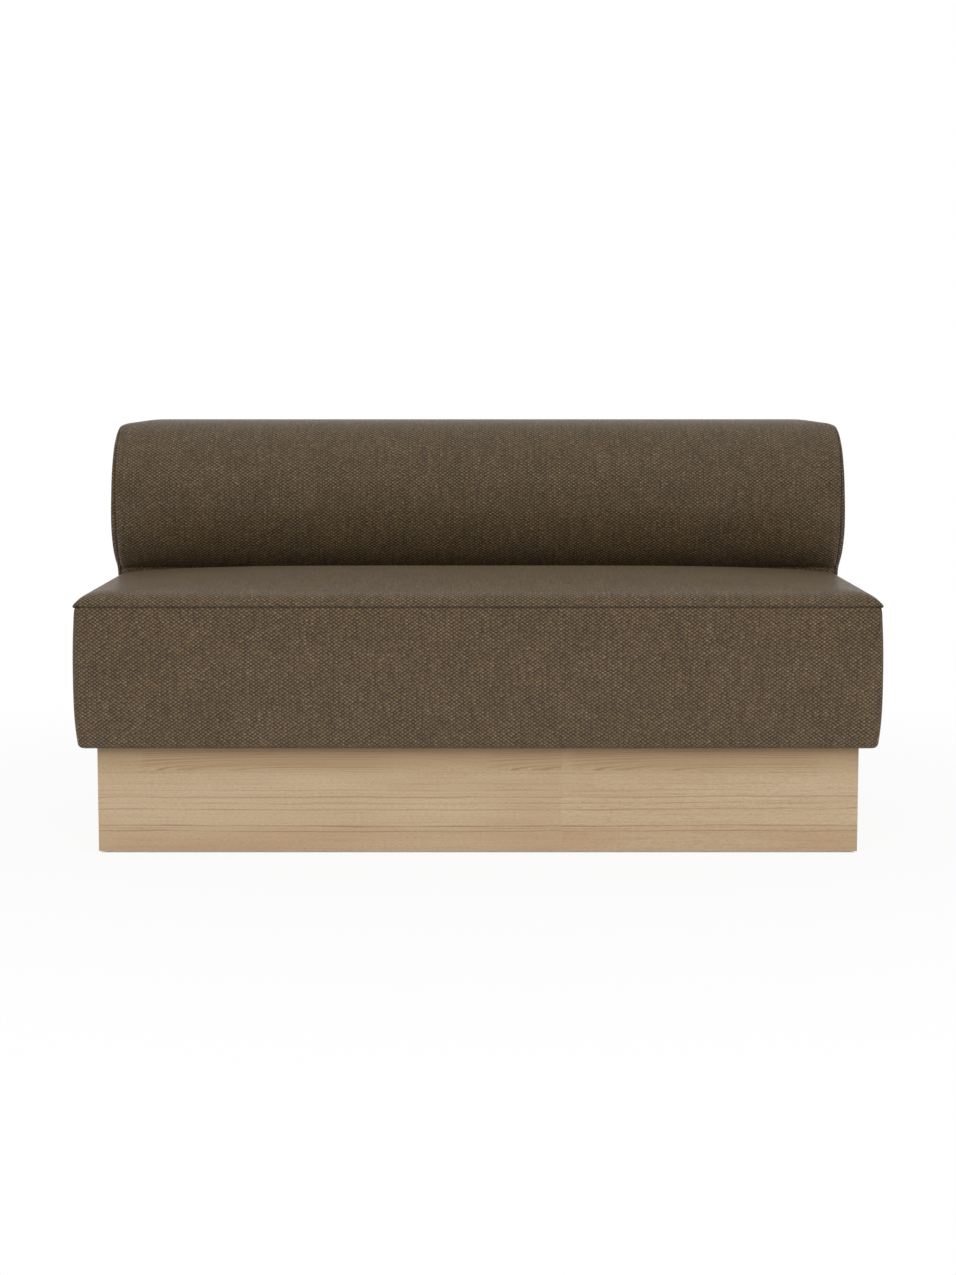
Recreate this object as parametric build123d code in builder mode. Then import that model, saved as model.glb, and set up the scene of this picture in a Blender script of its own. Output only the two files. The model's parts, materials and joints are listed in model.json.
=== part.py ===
from build123d import *
import os

# An upholstered dining sofa in three parts: a veneered plinth, a boxed seat and
# a rolled back whose neck runs down behind the seat to the plinth.
# The origin is the middle of the footprint, on the floor. +X is to the right
# as seen from the front, +Y is to the back and +Z is up. Sizes are millimetres.

os.makedirs("parts", exist_ok=True)

# Overall sizes
overall_width = 1400.0
overall_depth = 670.0
overall_height = 747.0
back_depth = 173.0
seat_bottom_height = 188.0
seam_height = 438.0
floor_gap = 3.0

# Form of the seat cushion
seat_side_bulge = 5.5
seat_front_bulge = 4.0
seat_bottom_radius = 19.0
seat_corner_radius = 12.0
crown_edge_run = 22.0
crown_edge_rise = 20.0
crown_rear_rise = 26.0
crown_rise = 44.0
crown_cross_rise = 46.0
crown_back = 280.0

# Form of the back roll and its neck
roll_overhang = 67.0
roll_top_radius = 143.0
roll_shoulder_back = 20.4
roll_shoulder_drop = 89.0
roll_underside_drop = 133.9
roll_rear_radius = 25.0
roll_end_run = 85.0
roll_end_drop = 9.0
roll_end_draw = 6.0
back_end_bulge = 15.0
neck_edge_bulge = 2.0
neck_side_bulge = 6.0

# Cloth, wadding and foam
cover_thickness = 2.0
soft_gap = 0.3
overrun = 1.0
wadding_thickness = 8.0
felt_thickness = 3.0
dust_cover_thickness = 1.0
seat_padding = 20.2
under_wrap_width = 60.0
back_skin_depth = 25.0

# Timber and board
plinth_inset = 35.0
plinth_board = 22.0
plinth_foot_clear = 20.0
batten_size = 30.0
corner_block = 45.0
cross_rail_share = 0.34
seat_rail = 25.0
seat_rail_top = 330.0
base_rail = 22.0
base_rail_width = 80.0
stretcher_drop = 27.7
glue_block = 60.0
glue_block_drop = 12.7
former_thickness = 18.0
former_end_inset = 36.0
inner_former_share = 0.33
skin_thickness = 5.0
rear_panel_thickness = 4.0
top_rail_depth = 45.0
top_rail_height = 22.0
top_rail_rear_gap = 44.0
front_rail_depth = 22.0
front_rail_height = 60.0
front_rail_set_back = 5.0
waist_rail_depth = 22.0
waist_rail_height = 40.0
waist_rail_drop = 20.1
wood_gap = 0.2

# Zigzag springs and their clips
spring_wire = 3.8
spring_width = 40.0
spring_pitch = 22.0
spring_count = 8
spring_spacing_share = 0.107
clip_sheet = 1.5
clip_width = 16.0
clip_gap = 0.1
spring_seat_back = 12.5

# Bolts, washers and tee nuts
bolt_diameter = 8.0
bolt_length = 60.0
bolt_head_flats = 13.0
bolt_head_height = 5.3
bolt_hole = 9.0
washer_outer = 24.0
washer_inner = 8.4
washer_thickness = 2.0
tee_flange = 20.0
tee_flange_thickness = 1.5
tee_barrel = 10.0
tee_barrel_length = 9.0
tee_pocket = 10.2
tee_bore = 8.1
bolt_row_shares = (-0.8, 0.0, 0.8)
back_bolt_shares = (-0.78, -0.2, 0.2, 0.78)
back_bolt_share = 0.575

# Wood screws
screw_length = 45.0
screw_diameter = 4.0
screw_head = 8.0
screw_head_depth = 4.0
screw_tip = 6.0
screw_clear = 0.05
batten_screw_shares = (-0.9, -0.45, 0.45, 0.9)

# Levellers: a nylon pad, a threaded stem and an insert
pad_diameter = 38.0
pad_height = 8.0
pad_edge = 1.5
pad_recess_floor = 3.0
stem_foot = 12.0
stem_foot_clear = 0.1
stem_diameter = 10.0
stem_top = 60.0
stem_clear_hole = 12.0
stem_clear_top = 85.0
collar_flats = 17.0
collar_height = 6.0
collar_gap = 0.3
insert_outer = 14.0
insert_flange = 18.0
insert_flange_thickness = 1.5
insert_length = 13.0
insert_clear = 0.05
thread_clear = 0.05

# Places worked out from the sizes above
half_width = overall_width / 2
front_y = -overall_depth / 2
rear_y = overall_depth / 2
neck_front_y = rear_y - back_depth
seat_rear_y = neck_front_y - soft_gap
seam_half = half_width - seat_side_bulge
front_seam_y = front_y + seat_front_bulge
seat_bulge_height = (seat_bottom_height + seam_height) / 2
roll_front_y = neck_front_y - roll_overhang
roll_centre_height = overall_height - roll_top_radius
junction_height = roll_centre_height - roll_underside_drop
back_seam_half = half_width - back_end_bulge
layer_gap = cover_thickness + soft_gap
frame_bottom = seat_bottom_height + layer_gap
neck_foam_foot = seat_rail_top


# A plain block between two opposite corners
def block(low, high, mode=Mode.ADD):
    size = [b - a for a, b in zip(low, high)]
    middle = [(a + b) / 2 for a, b in zip(low, high)]
    with Locations(Location(tuple(middle))):
        Box(*size, mode=mode)


# The seat's outer form, with every face drawn in by the inset
def seat_form(inset):
    crest = (front_y + crown_back, seam_height + crown_rise)
    front_shoulder = (front_seam_y + crown_edge_run, seam_height + crown_edge_rise)
    rear_shoulder = (seat_rear_y - crown_edge_run, seam_height + crown_rear_rise)
    side_shoulder = (seam_half - crown_edge_run, seam_height + crown_edge_rise)
    with BuildPart() as form:
        with BuildSketch(Plane.YZ) as side_view:
            with BuildLine():
                front_crown = TangentArc(crest, front_shoulder, tangent=(-1, 0))
                TangentArc(front_shoulder, (front_seam_y, seam_height), tangent=front_crown % 1)
                ThreePointArc(
                    (front_seam_y, seam_height),
                    (front_y, seat_bulge_height),
                    (front_seam_y, seat_bottom_height),
                )
                Line((front_seam_y, seat_bottom_height), (seat_rear_y, seat_bottom_height))
                Line((seat_rear_y, seat_bottom_height), (seat_rear_y, seam_height))
                rear_crown = TangentArc(crest, rear_shoulder, tangent=(1, 0))
                TangentArc(rear_shoulder, (seat_rear_y, seam_height), tangent=rear_crown % 1)
            make_face()
            front_foot = side_view.vertices().group_by(Axis.Y)[0].sort_by(Axis.X)[0]
            fillet(front_foot, radius=seat_bottom_radius)
            if inset:
                offset(amount=-inset)
        extrude(amount=overall_width, both=True)
        with BuildSketch(Plane.XZ) as front_view:
            with BuildLine():
                cross_crest = (0, seam_height + crown_cross_rise)
                cross_crown = TangentArc(cross_crest, side_shoulder, tangent=(1, 0))
                TangentArc(side_shoulder, (seam_half, seam_height), tangent=cross_crown % 1)
                ThreePointArc(
                    (seam_half, seam_height),
                    (half_width, seat_bulge_height),
                    (seam_half, seat_bottom_height),
                )
                Line((seam_half, seat_bottom_height), (0, seat_bottom_height))
                mirror(about=Plane.YZ)
            make_face()
            side_feet = front_view.vertices().group_by(Axis.Y)[0]
            side_feet = [side_feet.sort_by(Axis.X)[0], side_feet.sort_by(Axis.X)[-1]]
            fillet(side_feet, radius=seat_bottom_radius)
            if inset:
                offset(amount=-inset)
        extrude(amount=overall_depth, both=True, mode=Mode.INTERSECT)
        with BuildSketch(Plane.XY):
            with Locations((0, (front_y + seat_rear_y) / 2)):
                plan_depth = seat_rear_y - front_y
                RectangleRounded(overall_width, plan_depth, seat_corner_radius)
            if inset:
                offset(amount=-inset)
        extrude(amount=overall_height, mode=Mode.INTERSECT)
    return form.part


# The back's side outline: a D-shaped roll over an upright neck
def back_outline(rear, bottom):
    shoulder = (roll_front_y + roll_shoulder_back, roll_centre_height - roll_shoulder_drop)
    junction = (neck_front_y, junction_height)
    front = (roll_front_y, roll_centre_height)
    top = (roll_front_y + roll_top_radius, overall_height)
    with BuildLine() as outline:
        TangentArc(front, top, tangent=(0, 1))
        Line(top, (rear, overall_height))
        Line((rear, overall_height), (rear, bottom))
        Line((rear, bottom), (neck_front_y, bottom))
        Line((neck_front_y, bottom), junction)
        lower = TangentArc(front, shoulder, tangent=(0, -1))
        TangentArc(shoulder, junction, tangent=lower % 1)
    return outline.edges()


# The back's outer form, with every face drawn in by the inset
def back_form(inset):
    with BuildPart() as form:
        with BuildSketch(Plane.YZ) as side_view:
            make_face(back_outline(rear_y, seat_bottom_height))
            rear_top = side_view.vertices().group_by(Axis.Y)[-1].sort_by(Axis.X)[-1]
            fillet(rear_top, radius=roll_rear_radius)
            if inset:
                offset(amount=-inset)
        extrude(amount=overall_width, both=True)
        with BuildSketch(Plane.XZ):
            with BuildLine():
                end_start = (back_seam_half - roll_end_run, overall_height + overrun)
                end_top = (back_seam_half, overall_height - roll_end_drop)
                neck_top = (back_seam_half + neck_edge_bulge, junction_height)
                neck_foot = (back_seam_half + neck_edge_bulge, seat_bottom_height)
                neck_middle = (junction_height + seat_bottom_height) / 2
                Line((0, overall_height + overrun), end_start)
                TangentArc(end_start, end_top, tangent=(1, 0))
                ThreePointArc(end_top, (half_width, roll_centre_height), neck_top)
                ThreePointArc(neck_top, (back_seam_half + neck_side_bulge, neck_middle), neck_foot)
                Line(neck_foot, (back_seam_half + neck_edge_bulge, 0))
                Line((back_seam_half + neck_edge_bulge, 0), (0, 0))
                mirror(about=Plane.YZ)
            make_face()
            if inset:
                offset(amount=-inset)
        extrude(amount=overall_depth, both=True, mode=Mode.INTERSECT)
        with BuildSketch(Plane.XY):
            with BuildLine():
                draw_start = (back_seam_half - roll_end_run, roll_front_y - overrun)
                draw_end = (back_seam_half, roll_front_y + roll_end_draw)
                Line((0, roll_front_y - overrun), draw_start)
                TangentArc(draw_start, draw_end, tangent=(1, 0))
                end_middle = (half_width, (roll_front_y + rear_y) / 2)
                ThreePointArc(draw_end, end_middle, (back_seam_half, rear_y))
                Line((back_seam_half, rear_y), (back_seam_half, overall_depth))
                Line((back_seam_half, overall_depth), (0, overall_depth))
                mirror(about=Plane.YZ)
            make_face()
            if inset:
                offset(amount=-inset)
        extrude(amount=overall_height + seam_height, mode=Mode.INTERSECT)
    return form.part


# The back's inner form: its front and top lie deep under the padding, while
# its rear and its foot have insets of their own
def back_core(inset, rear_inset, half_length):
    with BuildPart() as core:
        with BuildSketch(Plane.YZ):
            make_face(back_outline(rear_y + inset - rear_inset, frame_bottom - inset))
            offset(amount=-inset)
        extrude(amount=half_length, both=True)
    return core.part


seat_outer = seat_form(0)
seat_cover_inner = seat_form(cover_thickness)
seat_soft_outer = seat_form(layer_gap)
back_outer = back_form(0)
back_cover_inner = back_form(cover_thickness)
back_soft_outer = back_form(layer_gap)

# Places of the plinth's pieces
plinth_half = half_width - plinth_inset
plinth_front_y = front_y + plinth_inset
plinth_rear_y = rear_y - plinth_inset
inner_half = plinth_half - plinth_board
inner_front_y = plinth_front_y + plinth_board
inner_rear_y = plinth_rear_y - plinth_board
batten_bottom = seat_bottom_height - batten_size
block_bottom = plinth_foot_clear
seat_rear_inner_y = seat_rear_y - layer_gap - seat_rail
middle_rail_front_y = seat_rear_inner_y - plinth_board
middle_batten_front_y = middle_rail_front_y - batten_size
cross_rail_x = half_width * cross_rail_share

# Places of the seat frame's pieces
frame_half = seam_half - layer_gap - seat_padding
frame_front_y = front_seam_y + layer_gap + seat_padding
frame_rear_y = seat_rear_y - layer_gap
frame_inner_half = frame_half - seat_rail
frame_inner_front_y = frame_front_y + seat_rail
base_rail_top = frame_bottom + base_rail
back_bolt_height = base_rail_top + back_bolt_share * (seat_rail_top - base_rail_top)

# Places of the back frame's pieces
former_half = half_width - former_end_inset
former_inner_half = former_half - former_thickness
former_inset = back_skin_depth + skin_thickness
former_rear_inset = layer_gap + rear_panel_thickness
former_front_y = neck_front_y + former_inset
former_rear_y = rear_y - former_rear_inset
former_top = overall_height - former_inset
inner_former_x = half_width * inner_former_share
mount_rail_front_y = neck_front_y + layer_gap
waist_rail_top = junction_height - waist_rail_drop

# One M8 bolt, drawn along +Z from under its head, with its washer and tee nut
with BuildPart() as bolt_shape:
    Cylinder(bolt_diameter / 2, bolt_length, align=(Align.CENTER, Align.CENTER, Align.MIN))
    with BuildSketch():
        RegularPolygon(bolt_head_flats / 2, 6, major_radius=False)
    extrude(amount=-bolt_head_height)

with BuildPart() as washer_shape:
    with BuildSketch():
        Circle(washer_outer / 2)
        Circle(washer_inner / 2, mode=Mode.SUBTRACT)
    extrude(amount=washer_thickness)

with BuildPart() as tee_nut_shape:
    with BuildSketch():
        Circle(tee_flange / 2)
    extrude(amount=tee_flange_thickness)
    with BuildSketch():
        Circle(tee_barrel / 2)
    extrude(amount=-tee_barrel_length)
    with BuildSketch(Plane.XY.offset(tee_flange_thickness)):
        Circle(tee_bore / 2)
    extrude(amount=-(tee_flange_thickness + tee_barrel_length), mode=Mode.SUBTRACT)

# The hole that a bolt and its tee nut's barrel need, from the washer's seat up
tee_seat_rise = base_rail_top - batten_bottom
back_tee_rise = former_front_y - seat_rear_inner_y


def bolt_passage(rise):
    with BuildPart() as passage:
        with BuildSketch():
            Circle(bolt_hole / 2)
        extrude(amount=bolt_length)
        with BuildSketch(Plane.XY.offset(rise)):
            Circle(tee_pocket / 2)
        extrude(amount=-(tee_barrel_length + soft_gap))
    return passage.part


upright_passage = bolt_passage(tee_seat_rise)
level_passage = bolt_passage(back_tee_rise)

# Bolts stand up through the battens into the seat's and the back's base rails
batten_middles = (
    inner_front_y + batten_size / 2,
    middle_rail_front_y - batten_size / 2,
    inner_rear_y - batten_size / 2,
)
upright_places = [
    Location((share * half_width, y, batten_bottom))
    for y in batten_middles
    for share in bolt_row_shares
]
# and run level through the seat's rear rail into the back's mounting rail
level_places = [
    Location(Plane((share * half_width, seat_rear_inner_y, back_bolt_height), (1, 0, 0), (0, 1, 0)))
    for share in back_bolt_shares
]

with BuildPart() as upright_passages:
    with Locations(*upright_places):
        add(upright_passage)

with BuildPart() as level_passages:
    with Locations(*level_places):
        add(level_passage)


# One countersunk wood screw along +Z, with its head's face at the origin
def screw_form(clear):
    shank = screw_diameter / 2 + clear
    head = screw_head / 2 + clear
    with BuildPart() as screw:
        with BuildSketch(Plane.XZ):
            with BuildLine():
                Polyline(
                    (0, 0),
                    (head, 0),
                    (shank, screw_head_depth),
                    (shank, screw_length - screw_tip),
                    (0, screw_length + clear),
                    close=True,
                )
            make_face()
        revolve(axis=Axis.Z)
    return screw.part


screw_shape = screw_form(0)
screw_hole_shape = screw_form(screw_clear)
screw_height = batten_bottom + batten_size / 2


# Screws in a row along a batten, each driven the way that its direction says
def screw_row(y, direction):
    return [
        Location(Plane((share * inner_half, y, screw_height), (1, 0, 0), (0, direction, 0)))
        for share in batten_screw_shares
    ]


screw_places = (
    screw_row(inner_front_y + batten_size, -1)
    + screw_row(middle_batten_front_y, 1)
    + screw_row(inner_rear_y - batten_size, 1)
)

with BuildPart() as plinth_screws:
    with Locations(*screw_places):
        add(screw_shape)
plinth_screws.part.label = "plinth_screws"
export_step(plinth_screws.part, "parts/plinth_screws.step")

with BuildPart() as screw_holes:
    with Locations(*screw_places):
        add(screw_hole_shape)

# Plinth boards, mitred where they meet, veneered outside
with BuildPart() as plinth_front_board:
    with BuildSketch(Plane.XY.offset(floor_gap)):
        with BuildLine():
            Polyline(
                (-plinth_half, plinth_front_y),
                (plinth_half, plinth_front_y),
                (inner_half, inner_front_y),
                (-inner_half, inner_front_y),
                close=True,
            )
        make_face()
    extrude(amount=seat_bottom_height - floor_gap)
    add(screw_holes.part, mode=Mode.SUBTRACT)
plinth_front_board.part.label = "plinth_front_board"
export_step(plinth_front_board.part, "parts/plinth_front_board.step")

with BuildPart() as plinth_rear_board:
    with BuildSketch(Plane.XY.offset(floor_gap)):
        with BuildLine():
            Polyline(
                (-plinth_half, plinth_rear_y),
                (plinth_half, plinth_rear_y),
                (inner_half, inner_rear_y),
                (-inner_half, inner_rear_y),
                close=True,
            )
        make_face()
    extrude(amount=seat_bottom_height - floor_gap)
    add(screw_holes.part, mode=Mode.SUBTRACT)
plinth_rear_board.part.label = "plinth_rear_board"
export_step(plinth_rear_board.part, "parts/plinth_rear_board.step")

with BuildPart() as plinth_right_board:
    with BuildSketch(Plane.XY.offset(floor_gap)):
        with BuildLine():
            Polyline(
                (plinth_half, plinth_front_y),
                (plinth_half, plinth_rear_y),
                (inner_half, inner_rear_y),
                (inner_half, inner_front_y),
                close=True,
            )
        make_face()
    extrude(amount=seat_bottom_height - floor_gap)
plinth_right_board.part.label = "plinth_right_board"
export_step(plinth_right_board.part, "parts/plinth_right_board.step")

with BuildPart() as plinth_left_board:
    add(plinth_right_board.part)
    mirror(about=Plane.YZ, mode=Mode.REPLACE)
plinth_left_board.part.label = "plinth_left_board"
export_step(plinth_left_board.part, "parts/plinth_left_board.step")

# A rail under the seat's rear edge, and two rails from it to the front board
with BuildPart() as plinth_middle_rail:
    block(
        (-inner_half, middle_rail_front_y, block_bottom),
        (inner_half, seat_rear_inner_y, seat_bottom_height),
    )
    add(screw_holes.part, mode=Mode.SUBTRACT)
plinth_middle_rail.part.label = "plinth_middle_rail"
export_step(plinth_middle_rail.part, "parts/plinth_middle_rail.step")

with BuildPart() as plinth_cross_rails:
    for side in (-1, 1):
        near = side * cross_rail_x - plinth_board / 2
        block(
            (near, inner_front_y, block_bottom),
            (near + plinth_board, middle_rail_front_y, batten_bottom),
        )
plinth_cross_rails.part.label = "plinth_cross_rails"
export_step(plinth_cross_rails.part, "parts/plinth_cross_rails.step")


# Battens along the top edge carry the bolts
def batten_between(low_y, high_y):
    with BuildPart() as batten:
        block((-inner_half, low_y, batten_bottom), (inner_half, high_y, seat_bottom_height))
        add(screw_holes.part, mode=Mode.SUBTRACT)
        add(upright_passages.part, mode=Mode.SUBTRACT)
    return batten.part


with BuildPart() as plinth_front_batten:
    add(batten_between(inner_front_y, inner_front_y + batten_size))
plinth_front_batten.part.label = "plinth_front_batten"
export_step(plinth_front_batten.part, "parts/plinth_front_batten.step")

with BuildPart() as plinth_middle_batten:
    add(batten_between(middle_batten_front_y, middle_rail_front_y))
plinth_middle_batten.part.label = "plinth_middle_batten"
export_step(plinth_middle_batten.part, "parts/plinth_middle_batten.step")

with BuildPart() as plinth_rear_batten:
    add(batten_between(inner_rear_y - batten_size, inner_rear_y))
plinth_rear_batten.part.label = "plinth_rear_batten"
export_step(plinth_rear_batten.part, "parts/plinth_rear_batten.step")

# Corner blocks hold the levellers' threaded inserts
leveller_x = inner_half - corner_block / 2
leveller_spots = [
    (side * leveller_x, y)
    for y in (inner_front_y + corner_block / 2, inner_rear_y - corner_block / 2)
    for side in (-1, 1)
]

with BuildPart() as plinth_corner_blocks:
    for x, y in leveller_spots:
        reach = corner_block / 2
        block((x - reach, y - reach, block_bottom), (x + reach, y + reach, batten_bottom))
    with BuildSketch(Plane.XY.offset(block_bottom)):
        with Locations(*leveller_spots):
            Circle(insert_outer / 2 + insert_clear)
    extrude(amount=insert_length, mode=Mode.SUBTRACT)
    with BuildSketch(Plane.XY.offset(block_bottom)):
        with Locations(*leveller_spots):
            Circle(stem_clear_hole / 2)
    extrude(amount=stem_clear_top - block_bottom, mode=Mode.SUBTRACT)
plinth_corner_blocks.part.label = "plinth_corner_blocks"
export_step(plinth_corner_blocks.part, "parts/plinth_corner_blocks.step")

with BuildPart() as leveller_inserts:
    with BuildSketch(Plane.XY.offset(block_bottom)):
        with Locations(*leveller_spots):
            Circle(insert_outer / 2)
    extrude(amount=insert_length)
    with BuildSketch(Plane.XY.offset(block_bottom)):
        with Locations(*leveller_spots):
            Circle(insert_flange / 2)
    extrude(amount=-insert_flange_thickness)
    with BuildSketch(Plane.XY):
        with Locations(*leveller_spots):
            Circle(stem_diameter / 2 + thread_clear)
    extrude(amount=stem_clear_top, mode=Mode.SUBTRACT)
leveller_inserts.part.label = "leveller_inserts"
export_step(leveller_inserts.part, "parts/leveller_inserts.step")

# Each leveller is a round pad and a stem with a hexagon collar that turns in it
for number, (x, y) in enumerate(leveller_spots, start=1):
    with BuildPart() as leveller_pad:
        with BuildSketch():
            with Locations((x, y)):
                Circle(pad_diameter / 2)
        extrude(amount=pad_height)
        chamfer(leveller_pad.edges().group_by(Axis.Z)[-1], length=pad_edge)
        with BuildSketch(Plane.XY.offset(pad_recess_floor)):
            with Locations((x, y)):
                Circle(stem_foot / 2 + stem_foot_clear)
        extrude(amount=pad_height, mode=Mode.SUBTRACT)
    leveller_pad.part.label = f"leveller_pad_{number}"
    export_step(leveller_pad.part, f"parts/leveller_pad_{number}.step")

    with BuildPart() as leveller_stem:
        with BuildSketch(Plane.XY.offset(pad_recess_floor + stem_foot_clear)):
            with Locations((x, y)):
                Circle(stem_foot / 2)
        extrude(amount=pad_height + collar_gap - pad_recess_floor - stem_foot_clear)
        with BuildSketch(Plane.XY.offset(pad_height + collar_gap)):
            with Locations((x, y)):
                RegularPolygon(collar_flats / 2, 6, major_radius=False)
        extrude(amount=collar_height)
        with BuildSketch(Plane.XY.offset(pad_height + collar_gap)):
            with Locations((x, y)):
                Circle(stem_diameter / 2)
        extrude(amount=stem_top - pad_height - collar_gap)
    leveller_stem.part.label = f"leveller_stem_{number}"
    export_step(leveller_stem.part, f"parts/leveller_stem_{number}.step")

# The seat's frame: four rails on edge, flat base rails, stretchers, glue blocks
with BuildPart() as seat_front_rail:
    block(
        (-frame_half, frame_front_y, frame_bottom),
        (frame_half, frame_inner_front_y, seat_rail_top),
    )
seat_front_rail.part.label = "seat_front_rail"
export_step(seat_front_rail.part, "parts/seat_front_rail.step")

with BuildPart() as seat_rear_rail:
    block(
        (-frame_half, seat_rear_inner_y, frame_bottom),
        (frame_half, frame_rear_y, seat_rail_top),
    )
    add(level_passages.part, mode=Mode.SUBTRACT)
seat_rear_rail.part.label = "seat_rear_rail"
export_step(seat_rear_rail.part, "parts/seat_rear_rail.step")

with BuildPart() as seat_right_rail:
    block(
        (frame_inner_half, frame_inner_front_y, frame_bottom),
        (frame_half, seat_rear_inner_y, seat_rail_top),
    )
seat_right_rail.part.label = "seat_right_rail"
export_step(seat_right_rail.part, "parts/seat_right_rail.step")

with BuildPart() as seat_left_rail:
    add(seat_right_rail.part)
    mirror(about=Plane.YZ, mode=Mode.REPLACE)
seat_left_rail.part.label = "seat_left_rail"
export_step(seat_left_rail.part, "parts/seat_left_rail.step")

with BuildPart() as seat_front_base_rail:
    block(
        (-frame_inner_half, frame_inner_front_y, frame_bottom),
        (frame_inner_half, frame_inner_front_y + base_rail_width, base_rail_top),
    )
    add(upright_passages.part, mode=Mode.SUBTRACT)
seat_front_base_rail.part.label = "seat_front_base_rail"
export_step(seat_front_base_rail.part, "parts/seat_front_base_rail.step")

with BuildPart() as seat_rear_base_rail:
    block(
        (-frame_inner_half, seat_rear_inner_y - base_rail_width, frame_bottom),
        (frame_inner_half, seat_rear_inner_y, base_rail_top),
    )
    add(upright_passages.part, mode=Mode.SUBTRACT)
seat_rear_base_rail.part.label = "seat_rear_base_rail"
export_step(seat_rear_base_rail.part, "parts/seat_rear_base_rail.step")

with BuildPart() as seat_stretchers:
    for side in (-1, 1):
        near = side * cross_rail_x - seat_rail / 2
        block(
            (near, frame_inner_front_y, base_rail_top),
            (near + seat_rail, seat_rear_inner_y, seat_rail_top - stretcher_drop),
        )
seat_stretchers.part.label = "seat_stretchers"
export_step(seat_stretchers.part, "parts/seat_stretchers.step")

with BuildPart() as seat_glue_blocks:
    with BuildSketch(Plane.XY.offset(base_rail_top)):
        for side in (-1, 1):
            for y, way in ((frame_inner_front_y, 1), (seat_rear_inner_y, -1)):
                corner_x = side * frame_inner_half
                with BuildLine():
                    Polyline(
                        (corner_x, y),
                        (corner_x - side * glue_block, y),
                        (corner_x, y + way * glue_block),
                        close=True,
                    )
                make_face()
    extrude(amount=seat_rail_top - glue_block_drop - base_rail_top)
seat_glue_blocks.part.label = "seat_glue_blocks"
export_step(seat_glue_blocks.part, "parts/seat_glue_blocks.step")

# Zigzag springs lie from the front rail to the rear rail in sheet-metal clips
clip_front_y = frame_front_y + spring_seat_back
clip_rear_y = frame_rear_y - spring_seat_back
wire_height = seat_rail_top + clip_sheet + spring_wire / 2
spring_span = clip_rear_y - clip_front_y
spring_runs = round(spring_span / spring_pitch)
run_pitch = spring_span / spring_runs
run_half = (spring_width - run_pitch) / 2
spring_spacing = overall_width * spring_spacing_share
spring_places = [
    (spring_spacing * (index - (spring_count - 1) / 2), 0) for index in range(spring_count)
]

with BuildPart() as spring_shape:
    with BuildLine(Plane.XY.offset(wire_height)) as spring_path:
        for run in range(spring_runs + 1):
            y = clip_front_y + run * run_pitch
            way = 1 if run % 2 == 0 else -1
            Line((-way * run_half, y), (way * run_half, y))
            if run < spring_runs:
                ThreePointArc(
                    (way * run_half, y),
                    (way * (run_half + run_pitch / 2), y + run_pitch / 2),
                    (way * run_half, y + run_pitch),
                )
    with BuildSketch(Plane((-run_half, clip_front_y, wire_height), (0, 1, 0), (1, 0, 0))):
        Circle(spring_wire / 2)
    sweep(path=spring_path.wires()[0])

with BuildPart() as seat_springs:
    with Locations(*spring_places):
        add(spring_shape.part)
seat_springs.part.label = "seat_springs"
export_step(seat_springs.part, "parts/seat_springs.step")

clip_inner = spring_wire / 2 + clip_gap
with BuildPart() as spring_clips:
    for x, _ in spring_places:
        for y in (clip_front_y, clip_rear_y):
            reach = clip_inner + clip_sheet
            block(
                (x - clip_width / 2, y - reach, seat_rail_top),
                (x + clip_width / 2, y + reach, wire_height + spring_wire / 2),
            )
            block(
                (x - clip_width / 2, y - clip_inner, seat_rail_top + clip_sheet),
                (x + clip_width / 2, y + clip_inner, wire_height + spring_wire),
                mode=Mode.SUBTRACT,
            )
spring_clips.part.label = "spring_clips"
export_step(spring_clips.part, "parts/spring_clips.step")

# Felt on the springs, foam at the frame's edges, a crowned foam core, wadding
felt_bottom = wire_height + spring_wire / 2 + wood_gap
felt_top = felt_bottom + felt_thickness
foam_bottom = felt_top + soft_gap

with BuildPart() as spring_felt:
    block((-frame_half, frame_front_y, felt_bottom), (frame_half, frame_rear_y, felt_top))
spring_felt.part.label = "spring_felt"
export_step(spring_felt.part, "parts/spring_felt.step")

with BuildPart() as seat_front_padding:
    block((-half_width, front_y, 0), (half_width, frame_front_y - soft_gap, felt_top))
    add(seat_soft_outer, mode=Mode.INTERSECT)
seat_front_padding.part.label = "seat_front_padding"
export_step(seat_front_padding.part, "parts/seat_front_padding.step")

with BuildPart() as seat_right_padding:
    block((frame_half + soft_gap, frame_front_y, 0), (half_width, seat_rear_y, felt_top))
    add(seat_soft_outer, mode=Mode.INTERSECT)
seat_right_padding.part.label = "seat_right_padding"
export_step(seat_right_padding.part, "parts/seat_right_padding.step")

with BuildPart() as seat_left_padding:
    add(seat_right_padding.part)
    mirror(about=Plane.YZ, mode=Mode.REPLACE)
seat_left_padding.part.label = "seat_left_padding"
export_step(seat_left_padding.part, "parts/seat_left_padding.step")

foam_inset = layer_gap + wadding_thickness + soft_gap
seat_foam_form = seat_form(foam_inset)
wadding_inner = seat_form(foam_inset - soft_gap)

with BuildPart() as seat_foam_core:
    add(seat_foam_form)
    split(bisect_by=Plane.XY.offset(foam_bottom), keep=Keep.TOP)
seat_foam_core.part.label = "seat_foam_core"
export_step(seat_foam_core.part, "parts/seat_foam_core.step")

with BuildPart() as seat_wadding:
    add(seat_soft_outer)
    add(wadding_inner, mode=Mode.SUBTRACT)
    split(bisect_by=Plane.XY.offset(foam_bottom), keep=Keep.TOP)
seat_wadding.part.label = "seat_wadding"
export_step(seat_wadding.part, "parts/seat_wadding.step")

# The seat's cloth: a top panel and a boxing that meet at the seam
with BuildPart() as seat_top_panel:
    add(seat_outer)
    add(seat_cover_inner, mode=Mode.SUBTRACT)
    split(bisect_by=Plane.XY.offset(seam_height), keep=Keep.TOP)
seat_top_panel.part.label = "seat_top_panel"
export_step(seat_top_panel.part, "parts/seat_top_panel.step")

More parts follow.
